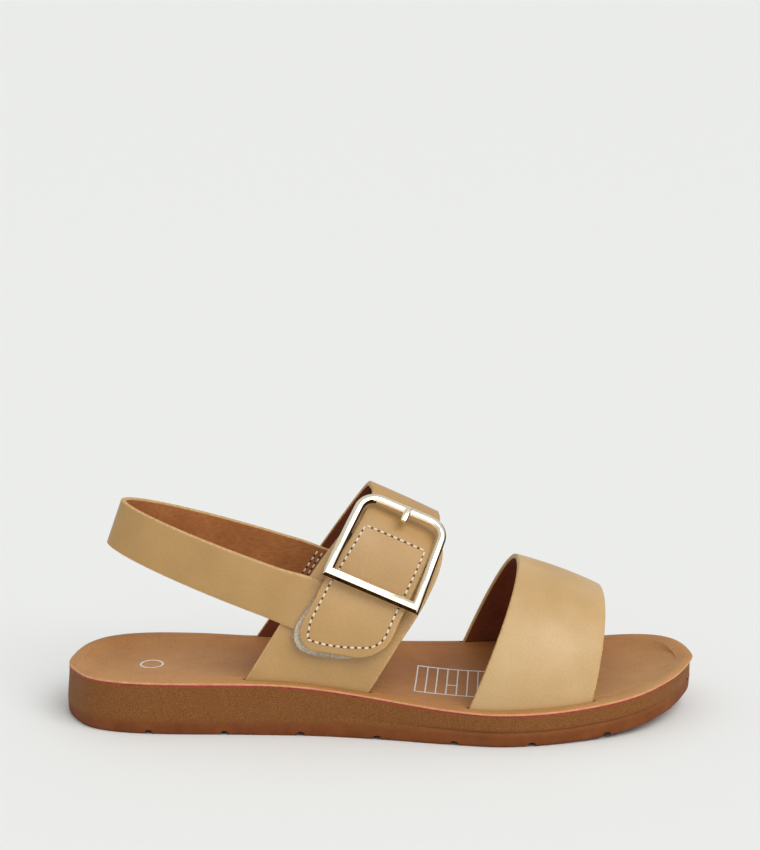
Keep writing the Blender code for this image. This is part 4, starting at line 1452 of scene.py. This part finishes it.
def make_grid_print(tree, ink):
    """A plain ruled grid, with nothing written in its cells."""
    points, faces = [], []
    width = GRID_CELLS * GRID_CELL
    lines = [((i * GRID_CELL, 0.0), (i * GRID_CELL, GRID_DEPTH)) for i in range(GRID_CELLS + 1)]
    lines += [((0.0, y), (width, y)) for y in (0.0, GRID_DEPTH)]
    split = SPLIT_PLACE * GRID_DEPTH
    lines.append(((SPLIT_CELL * GRID_CELL, split), ((SPLIT_CELL + 1) * GRID_CELL, split)))
    for ends in lines:
        placed = [(GRID_X + a * cos(GRID_TURN) - b * sin(GRID_TURN),
                   GRID_Y + a * sin(GRID_TURN) + b * cos(GRID_TURN)) for a, b in ends]
        strip(points, faces, *placed, GRID_LINE if ends[0][0] == ends[1][0] else GRID_CROSS_LINE)
    return dress(new_object("grid_print", lay_on_bed(tree, points), faces, [ink]), "footbed")


# Studio

def make_camera():
    data = bpy.data.cameras.new("camera")
    data.lens = CAMERA_LENS
    camera = bpy.data.objects.new("camera", data)
    camera.location = CAMERA_PLACE
    camera.rotation_euler = (pi / 2 - CAMERA_PITCH, 0, 0)
    bpy.context.collection.objects.link(camera)
    bpy.context.scene.camera = camera


def make_floor():
    """A floor that reaches the horizon, in small faces near the shoe and large ones far away."""
    lines = (-FLOOR_REACH, -FLOOR_REACH / 30, -1.0, 1.0, FLOOR_REACH / 30, FLOOR_REACH)
    points = [(x, y, 0) for y in lines for x in lines]
    count = len(lines)
    faces = [(j * count + i, j * count + i + 1, (j + 1) * count + i + 1, (j + 1) * count + i)
             for j in range(count - 1) for i in range(count - 1)]
    floor = new_object("floor", points, faces, [], smooth=False)
    shader = Shader("floor", 0.85, colour=linear(238, 240, 239))
    shader.set("Specular IOR Level", 0.15)
    floor.data.materials.append(shader.material)


def lamp(name, kind, energy, direction, place=(0.0, 0.0, 0.0)):
    """A lamp that shines along a direction."""
    light = bpy.data.objects.new(name, bpy.data.lights.new(name, kind))
    light.data.energy = energy
    light.location = place
    light.rotation_euler = Vector(direction).to_track_quat("-Z", "Y").to_euler()
    bpy.context.collection.objects.link(light)
    return light


def make_lamps():
    """A bright card that only gloss and metal show, and a soft sun that lights all alike."""
    card = lamp("card", "AREA", CARD_POWER, -Vector(CARD_PLACE), CARD_PLACE)
    card.data.shape = "RECTANGLE"
    card.data.size, card.data.size_y = CARD_SIZE
    card.visible_diffuse = False
    card.visible_camera = False
    sun = lamp("key", "SUN", SUN_STRENGTH, SUN_DIRECTION)
    sun.data.angle = SUN_SPREAD
    sun.data.color = SUN_COLOUR


def make_world():
    """A pale dome, a little brighter above than below."""
    world = bpy.data.worlds.new("studio")
    bpy.context.scene.world = world
    world.use_nodes = True
    nodes = world.node_tree.nodes
    links = world.node_tree.links
    place = nodes.new("ShaderNodeTexCoord").outputs["Generated"]
    split = nodes.new("ShaderNodeSeparateXYZ")
    links.new(place, split.inputs["Vector"])
    ramp = nodes.new("ShaderNodeValToRGB")
    low, high = ramp.color_ramp.elements
    low.color = (0.80, 0.81, 0.81, 1)
    high.position = 0.70
    links.new(split.outputs["Z"], ramp.inputs["Fac"])
    links.new(ramp.outputs["Color"], nodes["Background"].inputs["Color"])
    nodes["Background"].inputs["Strength"].default_value = WORLD_STRENGTH


def make_studio():
    make_camera()
    make_floor()
    make_world()
    make_lamps()
    bpy.context.scene.view_settings.view_transform = "Standard"


def main():
    make_studio()
    # The front strap's leather is a lighter copy of the upper's leather: a painted highlight for the light
    # that falls on the front strap.
    front_leather_lit = strap_leather("front_leather_lit", (194, 157, 102), (207, 172, 119), 0.12)
    leather = strap_leather("upper_leather", (179, 138, 78), (192, 151, 91), 0.20)
    edge = edge_paint("strap_edge", 0.50, 900, (182, 138, 82), (212, 174, 118), 1800, 0.00012, 0.5)
    # The straps' lining is a darker copy of the sling's lining: painted shade for the inside of the
    # straps.
    shaded_lining = lining("strap_lining_shaded", (104, 50, 25), (126, 64, 34))
    # The footbed's edge is a light peach: partly its own edge colour and partly a painted highlight along
    # the rim.
    bed_edge = edge_paint("footbed_edge_and_highlight", 0.55, 420, (198, 142, 94), (222, 168, 120), 1300, 0.00012, 0.4)
    board_edge = edge_paint("board_edge", 0.48, 500, (134, 26, 20), (174, 54, 40), 1300, 0.0001, 0.4)
    make_sole(sole_rubber())
    make_board(board_edge)
    bed = make_footbed(bed_leather(), bed_edge)
    make_front_strap([front_leather_lit, edge, shaded_lining])
    make_instep_strap([leather, edge, shaded_lining])
    make_quarter([leather, edge, shaded_lining])
    sling = Sling()
    # The sling's lining is the lighter, lit copy of the same lining: painted light.
    make_sling(sling, [leather, edge, lining("sling_lining_lit", (156, 98, 52), (182, 118, 67))])
    make_tape(felt())
    threads = (thread("stitch_thread", (246, 234, 208), (216, 194, 156)),
               # the needle holes' dark colour is painted shade
               thread("needle_hole_shade", (104, 60, 30), (70, 38, 18)))
    make_tab_stitches(threads)
    make_sling_stitches(sling, threads)
    make_buckle(gilt(), gilt_painted_reflection())
    bed_tree = tree_of(bed)
    ink = plain_ink()
    make_ring_print(bed_tree, ink)
    make_grid_print(bed_tree, ink)


main()
